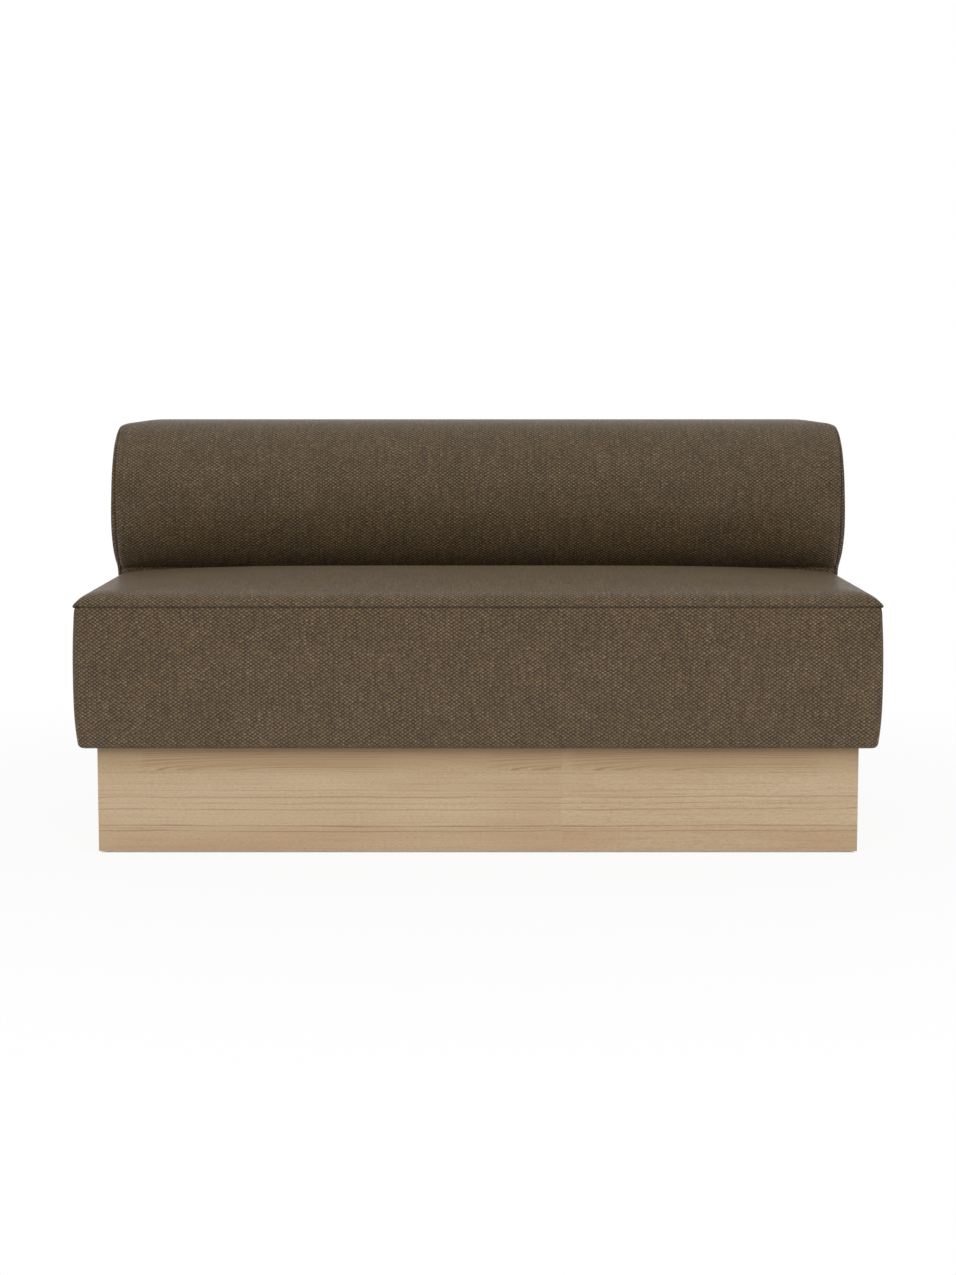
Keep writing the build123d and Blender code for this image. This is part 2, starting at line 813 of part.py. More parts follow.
wrap_half = half_width - under_wrap_width
wrap_front_y = front_y + under_wrap_width
wrap_rear_y = seat_rear_y - under_wrap_width
with BuildPart() as seat_boxing:
    add(seat_outer)
    add(seat_cover_inner, mode=Mode.SUBTRACT)
    split(bisect_by=Plane.XY.offset(seam_height), keep=Keep.BOTTOM)
    block((-wrap_half, wrap_front_y, 0), (wrap_half, wrap_rear_y, seam_height), mode=Mode.SUBTRACT)
    add(upright_passages.part, mode=Mode.SUBTRACT)
    add(level_passages.part, mode=Mode.SUBTRACT)
seat_boxing.part.label = "seat_boxing"
export_step(seat_boxing.part, "parts/seat_boxing.step")

with BuildPart() as seat_dust_cover:
    cover_top = seat_bottom_height + cover_thickness
    block(
        (-wrap_half + soft_gap, wrap_front_y + soft_gap, cover_top - dust_cover_thickness),
        (wrap_half - soft_gap, wrap_rear_y - soft_gap, cover_top),
    )
    add(upright_passages.part, mode=Mode.SUBTRACT)
seat_dust_cover.part.label = "seat_dust_cover"
export_step(seat_dust_cover.part, "parts/seat_dust_cover.step")

# Rails of the back's frame, between the end formers
top_rail_rear_y = former_rear_y - top_rail_rear_gap
with BuildPart() as back_top_rail:
    block(
        (-former_inner_half, top_rail_rear_y - top_rail_depth, former_top - top_rail_height),
        (former_inner_half, top_rail_rear_y, former_top),
    )
back_top_rail.part.label = "back_top_rail"
export_step(back_top_rail.part, "parts/back_top_rail.step")

front_rail_y = roll_front_y + former_inset + front_rail_set_back
front_rail_bottom = roll_centre_height - front_rail_height / 2
with BuildPart() as back_front_rail:
    block(
        (-former_inner_half, front_rail_y, front_rail_bottom),
        (former_inner_half, front_rail_y + front_rail_depth, front_rail_bottom + front_rail_height),
    )
back_front_rail.part.label = "back_front_rail"
export_step(back_front_rail.part, "parts/back_front_rail.step")

with BuildPart() as back_waist_rail:
    block(
        (-former_inner_half, former_front_y, waist_rail_top - waist_rail_height),
        (former_inner_half, former_front_y + waist_rail_depth, waist_rail_top),
    )
back_waist_rail.part.label = "back_waist_rail"
export_step(back_waist_rail.part, "parts/back_waist_rail.step")

with BuildPart() as back_base_rail:
    block(
        (-former_inner_half, former_front_y, frame_bottom),
        (former_inner_half, former_rear_y, base_rail_top),
    )
    add(upright_passages.part, mode=Mode.SUBTRACT)
back_base_rail.part.label = "back_base_rail"
export_step(back_base_rail.part, "parts/back_base_rail.step")

with BuildPart() as back_mounting_rail:
    block(
        (-former_half, mount_rail_front_y, frame_bottom),
        (former_half, former_front_y, neck_foam_foot),
    )
    add(level_passages.part, mode=Mode.SUBTRACT)
back_mounting_rail.part.label = "back_mounting_rail"
export_step(back_mounting_rail.part, "parts/back_mounting_rail.step")

# Formers: plates cut to the roll's outline, notched for the rails
former_core = back_core(former_inset, former_rear_inset, half_width)
frame_rails = (back_top_rail, back_front_rail, back_waist_rail, back_base_rail)

with BuildPart() as back_right_former:
    block((former_inner_half, 0, 0), (former_half, overall_depth, overall_height))
    add(former_core, mode=Mode.INTERSECT)
back_right_former.part.label = "back_right_former"
export_step(back_right_former.part, "parts/back_right_former.step")

with BuildPart() as back_left_former:
    add(back_right_former.part)
    mirror(about=Plane.YZ, mode=Mode.REPLACE)
back_left_former.part.label = "back_left_former"
export_step(back_left_former.part, "parts/back_left_former.step")

with BuildPart() as back_inner_formers:
    for side in (-1, 1):
        near = side * inner_former_x - former_thickness / 2
        block((near, 0, 0), (near + former_thickness, overall_depth, overall_height))
    add(former_core, mode=Mode.INTERSECT)
    for rail in frame_rails:
        add(rail.part, mode=Mode.SUBTRACT)
back_inner_formers.part.label = "back_inner_formers"
export_step(back_inner_formers.part, "parts/back_inner_formers.step")

# Bent skin over the roll, flat panel on the neck, flat panel at the rear
skin_outer = back_core(back_skin_depth, layer_gap, former_half)
skin_inner = back_core(former_inset, layer_gap, half_width)

with BuildPart() as back_roll_skin:
    add(skin_outer)
    add(skin_inner, mode=Mode.SUBTRACT)
    split(bisect_by=Plane.XY.offset(waist_rail_top), keep=Keep.TOP)
back_roll_skin.part.label = "back_roll_skin"
export_step(back_roll_skin.part, "parts/back_roll_skin.step")

with BuildPart() as back_neck_panel:
    block(
        (-former_half, former_front_y - skin_thickness, neck_foam_foot),
        (former_half, former_front_y, waist_rail_top),
    )
back_neck_panel.part.label = "back_neck_panel"
export_step(back_neck_panel.part, "parts/back_neck_panel.step")

with BuildPart() as back_rear_panel:
    block(
        (-former_half, former_rear_y, frame_bottom),
        (former_half, former_rear_y + rear_panel_thickness, former_top - wood_gap),
    )
back_rear_panel.part.label = "back_rear_panel"
export_step(back_rear_panel.part, "parts/back_rear_panel.step")

# Foam over the roll and the neck, thicker foam on the ends
foam_core = back_core(back_skin_depth - soft_gap, layer_gap - soft_gap, half_width)
with BuildPart() as back_foam:
    block(
        (-former_half, 0, neck_foam_foot + soft_gap),
        (former_half, rear_y, overall_height),
    )
    add(back_soft_outer, mode=Mode.INTERSECT)
    add(foam_core, mode=Mode.SUBTRACT)
back_foam.part.label = "back_foam"
export_step(back_foam.part, "parts/back_foam.step")

with BuildPart() as back_right_padding:
    add(back_soft_outer)
    split(bisect_by=Plane.YZ.offset(former_half + soft_gap), keep=Keep.TOP)
back_right_padding.part.label = "back_right_padding"
export_step(back_right_padding.part, "parts/back_right_padding.step")

with BuildPart() as back_left_padding:
    add(back_right_padding.part)
    mirror(about=Plane.YZ, mode=Mode.REPLACE)
back_left_padding.part.label = "back_left_padding"
export_step(back_left_padding.part, "parts/back_left_padding.step")

# The back's cloth: one wrap round the roll and neck, and a panel at each end
with BuildPart() as back_wrap_cover:
    add(back_outer)
    add(back_cover_inner, mode=Mode.SUBTRACT)
    split(bisect_by=Plane.YZ.offset(back_seam_half), keep=Keep.BOTTOM)
    split(bisect_by=Plane.YZ.offset(-back_seam_half), keep=Keep.TOP)
    add(upright_passages.part, mode=Mode.SUBTRACT)
    add(level_passages.part, mode=Mode.SUBTRACT)
back_wrap_cover.part.label = "back_wrap_cover"
export_step(back_wrap_cover.part, "parts/back_wrap_cover.step")

with BuildPart() as back_right_end_panel:
    add(back_outer)
    add(back_cover_inner, mode=Mode.SUBTRACT)
    split(bisect_by=Plane.YZ.offset(back_seam_half), keep=Keep.TOP)
back_right_end_panel.part.label = "back_right_end_panel"
export_step(back_right_end_panel.part, "parts/back_right_end_panel.step")

with BuildPart() as back_left_end_panel:
    add(back_right_end_panel.part)
    mirror(about=Plane.YZ, mode=Mode.REPLACE)
back_left_end_panel.part.label = "back_left_end_panel"
export_step(back_left_end_panel.part, "parts/back_left_end_panel.step")

# Bolts with their washers under the battens and behind the seat's rear rail
washer_step = Location((0, 0, -washer_thickness))
washer_places = [place * washer_step for place in upright_places + level_places]
tee_places = [place * Location((0, 0, tee_seat_rise)) for place in upright_places]
tee_places += [place * Location((0, 0, back_tee_rise)) for place in level_places]

with BuildPart() as assembly_bolts:
    with Locations(*washer_places):
        add(bolt_shape.part)
assembly_bolts.part.label = "assembly_bolts"
export_step(assembly_bolts.part, "parts/assembly_bolts.step")

with BuildPart() as bolt_washers:
    with Locations(*washer_places):
        add(washer_shape.part)
bolt_washers.part.label = "bolt_washers"
export_step(bolt_washers.part, "parts/bolt_washers.step")

with BuildPart() as tee_nuts:
    with Locations(*tee_places):
        add(tee_nut_shape.part)
tee_nuts.part.label = "tee_nuts"
export_step(tee_nuts.part, "parts/tee_nuts.step")
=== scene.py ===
import json
import math

import bpy
import numpy as np
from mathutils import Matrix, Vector, noise
from mathutils.bvhtree import BVHTree


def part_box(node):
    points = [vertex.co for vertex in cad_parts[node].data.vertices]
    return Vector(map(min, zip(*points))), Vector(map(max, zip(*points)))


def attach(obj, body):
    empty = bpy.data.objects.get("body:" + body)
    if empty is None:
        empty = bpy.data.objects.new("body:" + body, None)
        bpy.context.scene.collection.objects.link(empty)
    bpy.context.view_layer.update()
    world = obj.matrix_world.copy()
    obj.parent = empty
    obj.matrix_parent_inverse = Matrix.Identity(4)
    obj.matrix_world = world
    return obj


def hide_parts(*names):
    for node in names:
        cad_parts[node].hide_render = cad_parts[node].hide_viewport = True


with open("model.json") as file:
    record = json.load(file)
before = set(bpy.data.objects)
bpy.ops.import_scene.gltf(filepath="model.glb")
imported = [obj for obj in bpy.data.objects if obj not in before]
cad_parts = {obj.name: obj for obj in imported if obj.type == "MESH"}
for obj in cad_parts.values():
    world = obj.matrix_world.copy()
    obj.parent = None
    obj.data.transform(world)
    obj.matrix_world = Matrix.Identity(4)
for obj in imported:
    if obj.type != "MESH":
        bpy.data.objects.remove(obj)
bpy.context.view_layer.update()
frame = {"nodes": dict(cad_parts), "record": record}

scene = bpy.context.scene
scene.view_settings.view_transform = "Standard"
print("frame loaded with", len(frame["nodes"]), "pieces")

# Everything is in metres, as the frame is: +x to the right, +y to the back, +z up

# Camera: 0.84 m up, 4.2 m in front of the seat, looking a little down
camera = {"place": (0.0, -4.535, 0.84), "tilt": 83.8, "lens": 69.2, "sensorWidth": 36.0}


def makeCamera(settings):
    data = bpy.data.cameras.new("frontCamera")
    data.lens = settings["lens"]
    data.sensor_width = settings["sensorWidth"]
    eye = bpy.data.objects.new("frontCamera", data)
    eye.location = settings["place"]
    eye.rotation_euler = (math.radians(settings["tilt"]), 0, 0)
    scene.collection.objects.link(eye)
    scene.camera = eye


makeCamera(camera)
print("camera placed")

# Node helpers


def put(tree, kind, inputs=None, **settings):
    node = tree.nodes.new("ShaderNode" + kind)
    for key, value in settings.items():
        setattr(node, key, value)
    for key, value in (inputs or {}).items():
        if isinstance(value, bpy.types.NodeSocket):
            tree.links.new(value, node.inputs[key])
        else:
            node.inputs[key].default_value = value
    return node


def calc(tree, operation, *values, clamp=False):
    return put(tree, "Math", dict(enumerate(values)), operation=operation, use_clamp=clamp).outputs[0]


def plus(tree, first, second):
    return calc(tree, "ADD", first, second)


def minus(tree, first, second):
    return calc(tree, "SUBTRACT", first, second)


def times(tree, first, second):
    return calc(tree, "MULTIPLY", first, second)


def ramp(tree, value, low, high, start=0.0, end=1.0, smooth=False):
    kind = "SMOOTHSTEP" if smooth else "LINEAR"
    inputs = {"Value": value, "From Min": low, "From Max": high, "To Min": start, "To Max": end}
    return put(tree, "MapRange", inputs, interpolation_type=kind).outputs["Result"]


def mixColour(tree, share, first, second, blend="MIX"):
    return put(tree, "Mix", {0: share, 6: first, 7: second}, data_type="RGBA", blend_type=blend).outputs[2]


def stretched(tree, vector, scale):
    return put(tree, "VectorMath", {0: vector, 1: scale}, operation="MULTIPLY").outputs[0]


def mottle(tree, vector, scale, detail, roughness=0.5):
    inputs = {"Vector": vector, "Scale": scale, "Detail": detail, "Roughness": roughness}
    return put(tree, "TexNoise", inputs).outputs


def partsOf(tree, vector):
    return put(tree, "SeparateXYZ", {"Vector": vector}).outputs


def coloursOf(tree, colour):
    return put(tree, "SeparateColor", {"Color": colour}).outputs


def objectPlace(tree):
    return put(tree, "TexCoord").outputs["Object"]


def openGroup(name, inputs):
    group = bpy.data.node_groups.new(name, "ShaderNodeTree")
    for label, kind in inputs.items():
        group.interface.new_socket(name=label, in_out="INPUT", socket_type="NodeSocket" + kind)
    return group, group.nodes.new("NodeGroupInput").outputs


def closeGroup(group, results):
    for label in results:
        group.interface.new_socket(name=label, in_out="OUTPUT", socket_type="NodeSocketFloat")
    sink = group.nodes.new("NodeGroupOutput").inputs
    for label, socket in results.items():
        group.links.new(socket, sink[label])
    return group


def placeGroup(tree, group, inputs):
    return put(tree, "Group", inputs, node_tree=group).outputs


def newMaterial(name):
    material = bpy.data.materials.new(name)
    material.use_nodes = True
    material.node_tree.nodes.clear()
    return material, material.node_tree


def finishMaterial(material, colour, roughness, height, depth, gloss):
    # gloss holds the numbers that are the same all over the surface
    tree = material.node_tree
    bump = put(tree, "Bump", {"Height": height, "Distance": depth, "Strength": 1.0})
    inputs = {"Base Color": colour, "Roughness": roughness, "Normal": bump.outputs["Normal"], **gloss}
    shader = put(tree, "BsdfPrincipled", inputs)
    put(tree, "OutputMaterial", {"Surface": shader.outputs["BSDF"]})
    return material


def colourOf(red, green, blue):
    # sRGB from 0 to 255 to the linear numbers that sockets take
    shares = [c / 255 for c in (red, green, blue)]
    return tuple(s / 12.92 if s <= 0.04045 else ((s + 0.055) / 1.055) ** 2.4 for s in shares) + (1.0,)


# The upholstery weave: staggered round floats of thick yarn, two to a cell
weave = {
    "cellWidth": 0.0090,
    "cellHeight": 0.0063,
    "scatter": 0.20,
    "drift": 0.12,
    "driftScale": 45.0,
    "floatEdge": (0.53, 0.12),
    "floatRound": 0.8,
    "fibreScale": 1500.0,
    "fibreHeight": 0.35,
    "patchScale": 16.0,
    "tintScale": (5.0, 2.5, 5.0),
    "warpScale": (210.0, 14.0, 1.0),
    "shade": 0.90,
    "tone": (1.07, 1.025, 0.93),
    "patchShare": 0.08,
    "warpShare": 0.13,
    "tintShare": 0.05,
    "gapPick": (0.55, 0.75),
    "gapColours": (colourOf(62, 51, 39), colourOf(80, 63, 42)),
    "yarnColours": ((0.0, 110, 94, 73), (0.25, 119, 102, 79), (0.62, 124, 104, 77), (0.74, 126, 110, 87),
                    (0.94, 135, 121, 99), (0.9985, 104, 50, 40)),
    "roughness": (0.85, 0.62),
    "bumpDepth": 0.0008,
    # creaseShade is how much painted shade darkens the cloth in the seams
    "creaseShade": 0.45,
    "gloss": {
        "Specular IOR Level": 0.30,
        "Sheen Weight": 0.08,
        "Sheen Roughness": 0.35,
        "Sheen Tint": (0.95, 0.74, 0.50, 1.0),
        "Coat Weight": 0.26,
        "Coat Roughness": 0.30,
    },
}


def makeCloth(name):
    material, tree = newMaterial(name)
    cloth = put(tree, "UVMap", uv_map="clothMetres").outputs["UV"]
    apart = partsOf(tree, cloth)
    across = calc(tree, "DIVIDE", apart["X"], weave["cellWidth"])
    upward = calc(tree, "DIVIDE", apart["Y"], weave["cellHeight"])
    wander = coloursOf(tree, mottle(tree, cloth, weave["driftScale"], 2.0)["Color"])
    # Diagonal coordinates put a float at each whole number, which staggers the rows
    lattice = {}
    for axis, diagonal, drift in (("X", plus, wander[0]), ("Y", minus, wander[1])):
        shift = times(tree, minus(tree, drift, 0.5), weave["drift"])
        lattice[axis] = plus(tree, diagonal(tree, across, upward), shift)
    lattice = put(tree, "CombineXYZ", lattice).outputs[0]
    cells = put(tree, "TexVoronoi", {"Vector": lattice, "Scale": 1.0, "Randomness": weave["scatter"]},
                voronoi_dimensions="2D", feature="F1").outputs
    yarn, second, _ = coloursOf(tree, cells["Color"])
    raised = ramp(tree, cells["Distance"], *weave["floatEdge"], smooth=True)
    fuzz = minus(tree, mottle(tree, cloth, weave["fibreScale"], 2.0)["Fac"], 0.5)
    relief = plus(tree, calc(tree, "POWER", raised, weave["floatRound"]), times(tree, fuzz, weave["fibreHeight"]))
    picked = put(tree, "ValToRGB", {"Fac": yarn})
    picked.color_ramp.interpolation = "CONSTANT"
    stops = picked.color_ramp.elements
    for index, (place, *colour) in enumerate(weave["yarnColours"]):
        stop = stops[index] if index < 2 else stops.new(place)
        stop.position = place
        stop.color = colourOf(*colour)
    gap = mixColour(tree, ramp(tree, second, *weave["gapPick"], smooth=True), *weave["gapColours"])
    woven = mixColour(tree, raised, gap, picked.outputs["Color"])

    def spread(marks, low, high, middle, share):
        return ramp(tree, marks["Fac"], low, high, middle * (1 - share), middle * (1 + share))

    patches = mottle(tree, cloth, weave["patchScale"], 3.0)
    warps = mottle(tree, stretched(tree, cloth, weave["warpScale"]), 1.0, 1.0)
    tints = mottle(tree, stretched(tree, cloth, weave["tintScale"]), 1.0, 2.0)
    # Painted shade: the cloth darkens towards each seam, following the crease attribute
    crease = put(tree, "Attribute", attribute_name="crease").outputs["Fac"]
    patch = times(tree, spread(patches, 0.3, 0.7, weave["shade"], weave["patchShare"]),
                  ramp(tree, crease, 0.0, 1.0, 1.0, 1.0 - weave["creaseShade"]))
    patch = times(tree, patch, spread(warps, 0.3, 0.7, 1.0, weave["warpShare"]))
    redTone, greenTone, blueTone = weave["tone"]
    tone = put(tree, "CombineColor", {
        "Red": times(tree, patch, redTone),
        "Green": times(tree, patch, greenTone),
        "Blue": times(tree, patch, spread(tints, 0.35, 0.65, blueTone, weave["tintShare"])),
    }).outputs[0]
    colour = mixColour(tree, 1.0, woven, tone, blend="MULTIPLY")
    roughness = ramp(tree, raised, 0.0, 1.0, *weave["roughness"])
    return finishMaterial(material, colour, roughness, relief, weave["bumpDepth"], weave["gloss"])


# Wood: how fast each kind of mark changes along the grain, across it and into the board
grainScales = {
    "bend": (2.6, 7.0, 7.0),
    "ripple": (14.0, 60.0, 60.0),
    "streaks": (6.0, 520.0, 520.0),
    "fibres": (150.0, 900.0, 900.0),
    "pores": (120.0, 1200.0, 1200.0),
    "clouds": (3.0, 22.0, 22.0),
}


def makeGrainGroup():
    labels = ("Along", "Across", "Depth", "Seed", "Spacing", "Warp")
    group, source = openGroup("woodGrain", dict.fromkeys(labels, "Float"))
    moved = put(group, "CombineXYZ", {
        "X": plus(group, source["Along"], source["Seed"]),
        "Y": source["Across"],
        "Z": plus(group, source["Depth"], source["Seed"]),
    }).outputs[0]

    def flow(kind, detail, roughness=0.5):
        return mottle(group, stretched(group, moved, grainScales[kind]), 1.0, detail, roughness)["Fac"]

    bend = times(group, minus(group, flow("bend", 2.0), 0.5), source["Warp"])
    ripple = times(group, minus(group, flow("ripple", 2.0), 0.5), times(group, source["Warp"], 0.20))
    place = plus(group, source["Across"], plus(group, bend, ripple))
    rings = put(group, "TexNoise", {
        "W": calc(group, "DIVIDE", place, source["Spacing"]), "Scale": 1.0, "Detail": 5.0, "Roughness": 0.72,
    }, noise_dimensions="1D")
    return closeGroup(group, {
        "Rings": rings.outputs["Fac"],
        "Streaks": flow("streaks", 3.0, 0.6),
        "Fibres": flow("fibres", 3.0, 0.65),
        "Pores": ramp(group, flow("pores", 1.0), 0.66, 0.76, smooth=True),
        "Clouds": flow("clouds", 3.0),
        "Ring Place": place,
    })


# Oak veneer: fine level lines, with hooked flames where the cut runs through the heart. Each set of
# four numbers is a ramp: where it starts and ends, and its share at the start and at the end
oak = {
    "base": colourOf(202, 180, 148),
    "brown": colourOf(183, 151, 116),
    "dark": colourOf(160, 126, 92),
    "line": colourOf(141, 104, 72),
    # shade and shadeUnder paint shade onto the top of the board, under the seat's overhang
    "shade": colourOf(152, 122, 84),
    "ringSpacing": 0.0058,
    "warp": 0.014,
    "heartHeight": 0.1455,
    "heartBlend": 0.001,
    "heartStart": -0.605,
    "flamePitch": 0.612,
    "flameReach": 0.27,
    "flameRise": 0.70,
    "flameDepth": 0.040,
    "flameSquash": 2.3,
    "hooksFrom": (0.0, 0.05),
    "hooksTo": (0.66, 0.80),
    "leafJoint": 0.146,
    "leafShift": 0.142,
    "leafSeed": 0.015,
    "brownBelow": (0.047, 0.037, 0.0, 0.34),
    "brownAbove": (0.1440, 0.1640, 0.0, 0.16),
    "brownClouds": (0.42, 0.72, 0.0, 0.40),
    "fibres": (0.42, 0.70, 0.0, 0.50),
    "streaks": (0.50, 0.72, 0.0, 0.30),
    "rings": (0.555, 0.64, 0.0, 0.42),
    "hooks": (0.49, 0.58, 0.0, 0.80),
    "lineHeights": ((0.1005, 0.5), (0.0490, 0.75), (0.0400, 0.35)),
    "lineReach": (0.0004, 0.0022),
    "lineBreaks": (0.36, 0.58, 0.25, 1.0),
    "poreShare": 0.4,
    "shadeUnder": (0.118, 0.190, 0.0, 0.56),
    "roughness": (0.3, 0.7, 0.48, 0.60),
    "fibreHeight": 0.6,
    "bumpDepth": 0.0001,
    "gloss": {"Coat Weight": 0.08, "Coat Roughness": 0.45},
}


def flamedHeight(tree, along, across):
    # Lines above the heart curl down to it in hooks that repeat along the veneer
    pitch, heart, blend = oak["flamePitch"], oak["heartHeight"], oak["heartBlend"]
    local = calc(tree, "FLOORED_MODULO", minus(tree, along, oak["heartStart"]), pitch)
    falling = ramp(tree, local, 0.0, oak["flameReach"], oak["flameDepth"], 0.0)
    rising = ramp(tree, local, oak["flameRise"] * pitch, pitch, 0.0, oak["flameDepth"], smooth=True)
    depth = plus(tree, falling, rising)
    above = times(tree, calc(tree, "MAXIMUM", minus(tree, across, heart), 0.0), oak["flameSquash"])
    cone = calc(tree, "SQRT", plus(tree, times(tree, depth, depth), times(tree, above, above)))
    inside = ramp(tree, across, heart - blend, heart + blend, smooth=True)
    shown = times(tree, ramp(tree, local, *(share * pitch for share in oak["hooksFrom"]), smooth=True),
                  ramp(tree, local, *(share * pitch for share in oak["hooksTo"]), 1.0, 0.0, smooth=True))
    lifted = plus(tree, calc(tree, "MINIMUM", across, heart), times(tree, cone, inside))
    return lifted, times(tree, inside, shown)


def makeOak(name, group, alongAxis, depthAxis, flamed):
    material, tree = newMaterial(name)
    axes = partsOf(tree, objectPlace(tree))
    along, height = axes[alongAxis], axes["Z"]
    across, hooked, seed = height, 0.0, 0.0
    if flamed:
        # The second leaf of veneer is the same cut, laid a little further along
        secondLeaf = calc(tree, "GREATER_THAN", along, oak["leafJoint"])
        along = minus(tree, along, times(tree, secondLeaf, oak["leafShift"]))
        across, hooked = flamedHeight(tree, along, height)
        seed = times(tree, secondLeaf, oak["leafSeed"])
    grain = placeGroup(tree, group, {
        "Along": along, "Across": across, "Depth": axes[depthAxis],
        "Seed": seed, "Spacing": oak["ringSpacing"], "Warp": oak["warp"],
    })
    place, rings = grain["Ring Place"], grain["Rings"]
    brown = plus(tree, ramp(tree, place, *oak["brownBelow"], smooth=True),
                 ramp(tree, place, *oak["brownAbove"], smooth=True))
    brown = calc(tree, "ADD", brown, ramp(tree, grain["Clouds"], *oak["brownClouds"]), clamp=True)
    colour = mixColour(tree, brown, oak["base"], oak["brown"])
    fibres = plus(tree, ramp(tree, grain["Fibres"], *oak["fibres"]), ramp(tree, grain["Streaks"], *oak["streaks"]))
    colour = mixColour(tree, fibres, colour, oak["dark"])
    hooks = times(tree, ramp(tree, rings, *oak["hooks"], smooth=True), hooked)
    marks = calc(tree, "MAXIMUM", ramp(tree, rings, *oak["rings"], smooth=True), hooks)
    for lineHeight, strength in oak["lineHeights"]:
        away = calc(tree, "ABSOLUTE", minus(tree, place, lineHeight))
        marks = plus(tree, marks, ramp(tree, away, *oak["lineReach"], strength, 0.0, smooth=True))
    marks = calc(tree, "MULTIPLY", marks, ramp(tree, grain["Streaks"], *oak["lineBreaks"]), clamp=True)
    colour = mixColour(tree, marks, colour, oak["line"])
    colour = mixColour(tree, times(tree, grain["Pores"], oak["poreShare"]), colour, oak["line"])
    # Painted shade under the seat's overhang: the veneer darkens towards the top of the board
    colour = mixColour(tree, ramp(tree, height, *oak["shadeUnder"], smooth=True), colour, oak["shade"])
    relief = minus(tree, times(tree, grain["Fibres"], oak["fibreHeight"]), grain["Pores"])
    roughness = ramp(tree, grain["Fibres"], *oak["roughness"])
    return finishMaterial(material, colour, roughness, relief, oak["bumpDepth"], oak["gloss"])


bareWoods = {
    "timber": {"colours": (colourOf(214, 184, 136), colourOf(180, 142, 94)), "spacing": 0.0060, "warp": 0.020},
    "plywood": {"colours": (colourOf(209, 181, 141), colourOf(171, 138, 97)), "spacing": 0.0028, "warp": 0.008},
}


def makeBareWood(name, group, settings):
    material, tree = newMaterial(name)
    axes = partsOf(tree, objectPlace(tree))
    grain = placeGroup(tree, group, {
        "Along": axes["X"], "Across": plus(tree, axes["Y"], axes["Z"]), "Depth": axes["Z"],
        "Seed": 0.6, "Spacing": settings["spacing"], "Warp": settings["warp"],
    })
    rings, streaks = grain["Rings"], grain["Streaks"]
    light, dark = settings["colours"]
    colour = mixColour(tree, ramp(tree, rings, 0.42, 0.62, smooth=True), light, dark)
    colour = mixColour(tree, ramp(tree, streaks, 0.45, 0.75, 0.0, 0.4), colour, dark)
    return finishMaterial(material, colour, ramp(tree, streaks, 0.3, 0.7, 0.62, 0.80), streaks, 0.0002, {})


# Fillings, steels, nylon and thread: two colours mixed by fine specks. The share, the clouds and the
# roughness are ramps over the specks or the clouds
filling = {"share": (0.35, 0.65, 0.0, 0.75), "clouds": (0.35, 0.65, 0.0, 0.25), "rough": (0.3, 0.7, 0.85, 0.98),
           "gloss": {"Sheen Weight": 0.1}}
steel = {"share": (0.42, 0.66, 0.0, 0.8), "size": 380.0, "depth": 0.00004, "gloss": {"Metallic": 1.0}}
plain = {"share": (0.0, 1.0), "gloss": {}}
speckled = {
    "foam": {**filling, "colours": ((226, 218, 188), (190, 178, 142)), "size": 900.0, "depth": 0.0006},
    "wadding": {**filling, "colours": ((238, 238, 232), (208, 208, 202)), "size": 260.0, "depth": 0.0016},
    "felt": {**filling, "colours": ((122, 120, 116), (84, 82, 80)), "size": 520.0, "depth": 0.0006},
    "dust_cloth": {**filling, "colours": ((34, 34, 35), (18, 18, 19)), "size": 1400.0, "depth": 0.0002},
    "spring_steel": {**steel, "colours": ((92, 92, 96), (58, 56, 56)), "rough": (0.35, 0.65, 0.34, 0.52)},
    "zinc_steel": {**steel, "colours": ((198, 201, 205), (160, 163, 168)), "rough": (0.35, 0.65, 0.24, 0.42)},
    "nylon": {**plain, "colours": ((36, 36, 37), (24, 24, 25)), "size": 1100.0, "depth": 0.00005,
              "rough": (0.3, 0.7, 0.42, 0.58)},
    "thread": {**plain, "colours": ((74, 60, 44), (44, 35, 26)), "size": 2600.0, "depth": 0.0001,
               "rough": (0.3, 0.7, 0.6, 0.8)},
}


def makeSpeckleGroup():
    group, source = openGroup("speckle", {"Vector": "Vector", "Size": "Float"})
    return closeGroup(group, {
        "Specks": mottle(group, source["Vector"], source["Size"], 4.0, 0.7)["Fac"],
        "Clouds": mottle(group, source["Vector"], 14.0, 2.0)["Fac"],
    })


def makeSpeckled(name, group, settings):
    material, tree = newMaterial(name)
    found = placeGroup(tree, group, {"Vector": objectPlace(tree), "Size": settings["size"]})
    specks = found["Specks"]
    share = ramp(tree, specks, *settings["share"])
    if "clouds" in settings:
        share = plus(tree, share, ramp(tree, found["Clouds"], *settings["clouds"]))
    colour = mixColour(tree, share, *(colourOf(*colour) for colour in settings["colours"]))
    roughness = ramp(tree, specks, *settings["rough"])
    return finishMaterial(material, colour, roughness, specks, settings["depth"], settings["gloss"])


grainGroup = makeGrainGroup()
speckleGroup = makeSpeckleGroup()
slotMaterials = {
    "oak_veneer": makeOak("oakVeneerFront", grainGroup, "X", "Y", True),
    "woven_cloth": makeCloth("coverCloth"),
}
for slotName, slotSettings in bareWoods.items():
    slotMaterials[slotName] = makeBareWood(slotName, grainGroup, slotSettings)
for slotName, slotSettings in speckled.items():
    slotMaterials[slotName] = makeSpeckled(slotName, speckleGroup, slotSettings)
oakSide = makeOak("oakVeneerSide", grainGroup, "Y", "X", False)
print("materials made:", len(bpy.data.materials))


def dressFramePieces():
    for row in frame["record"]["subparts"]:
        piece = frame["nodes"][row["node"]]
        sideBoard = row["node"] in ("plinth_left_board", "plinth_right_board")
        piece.data.materials.clear()
        piece.data.materials.append(oakSide if sideBoard else slotMaterials[row["material_slot"]])


dressFramePieces()
print("frame pieces finished")

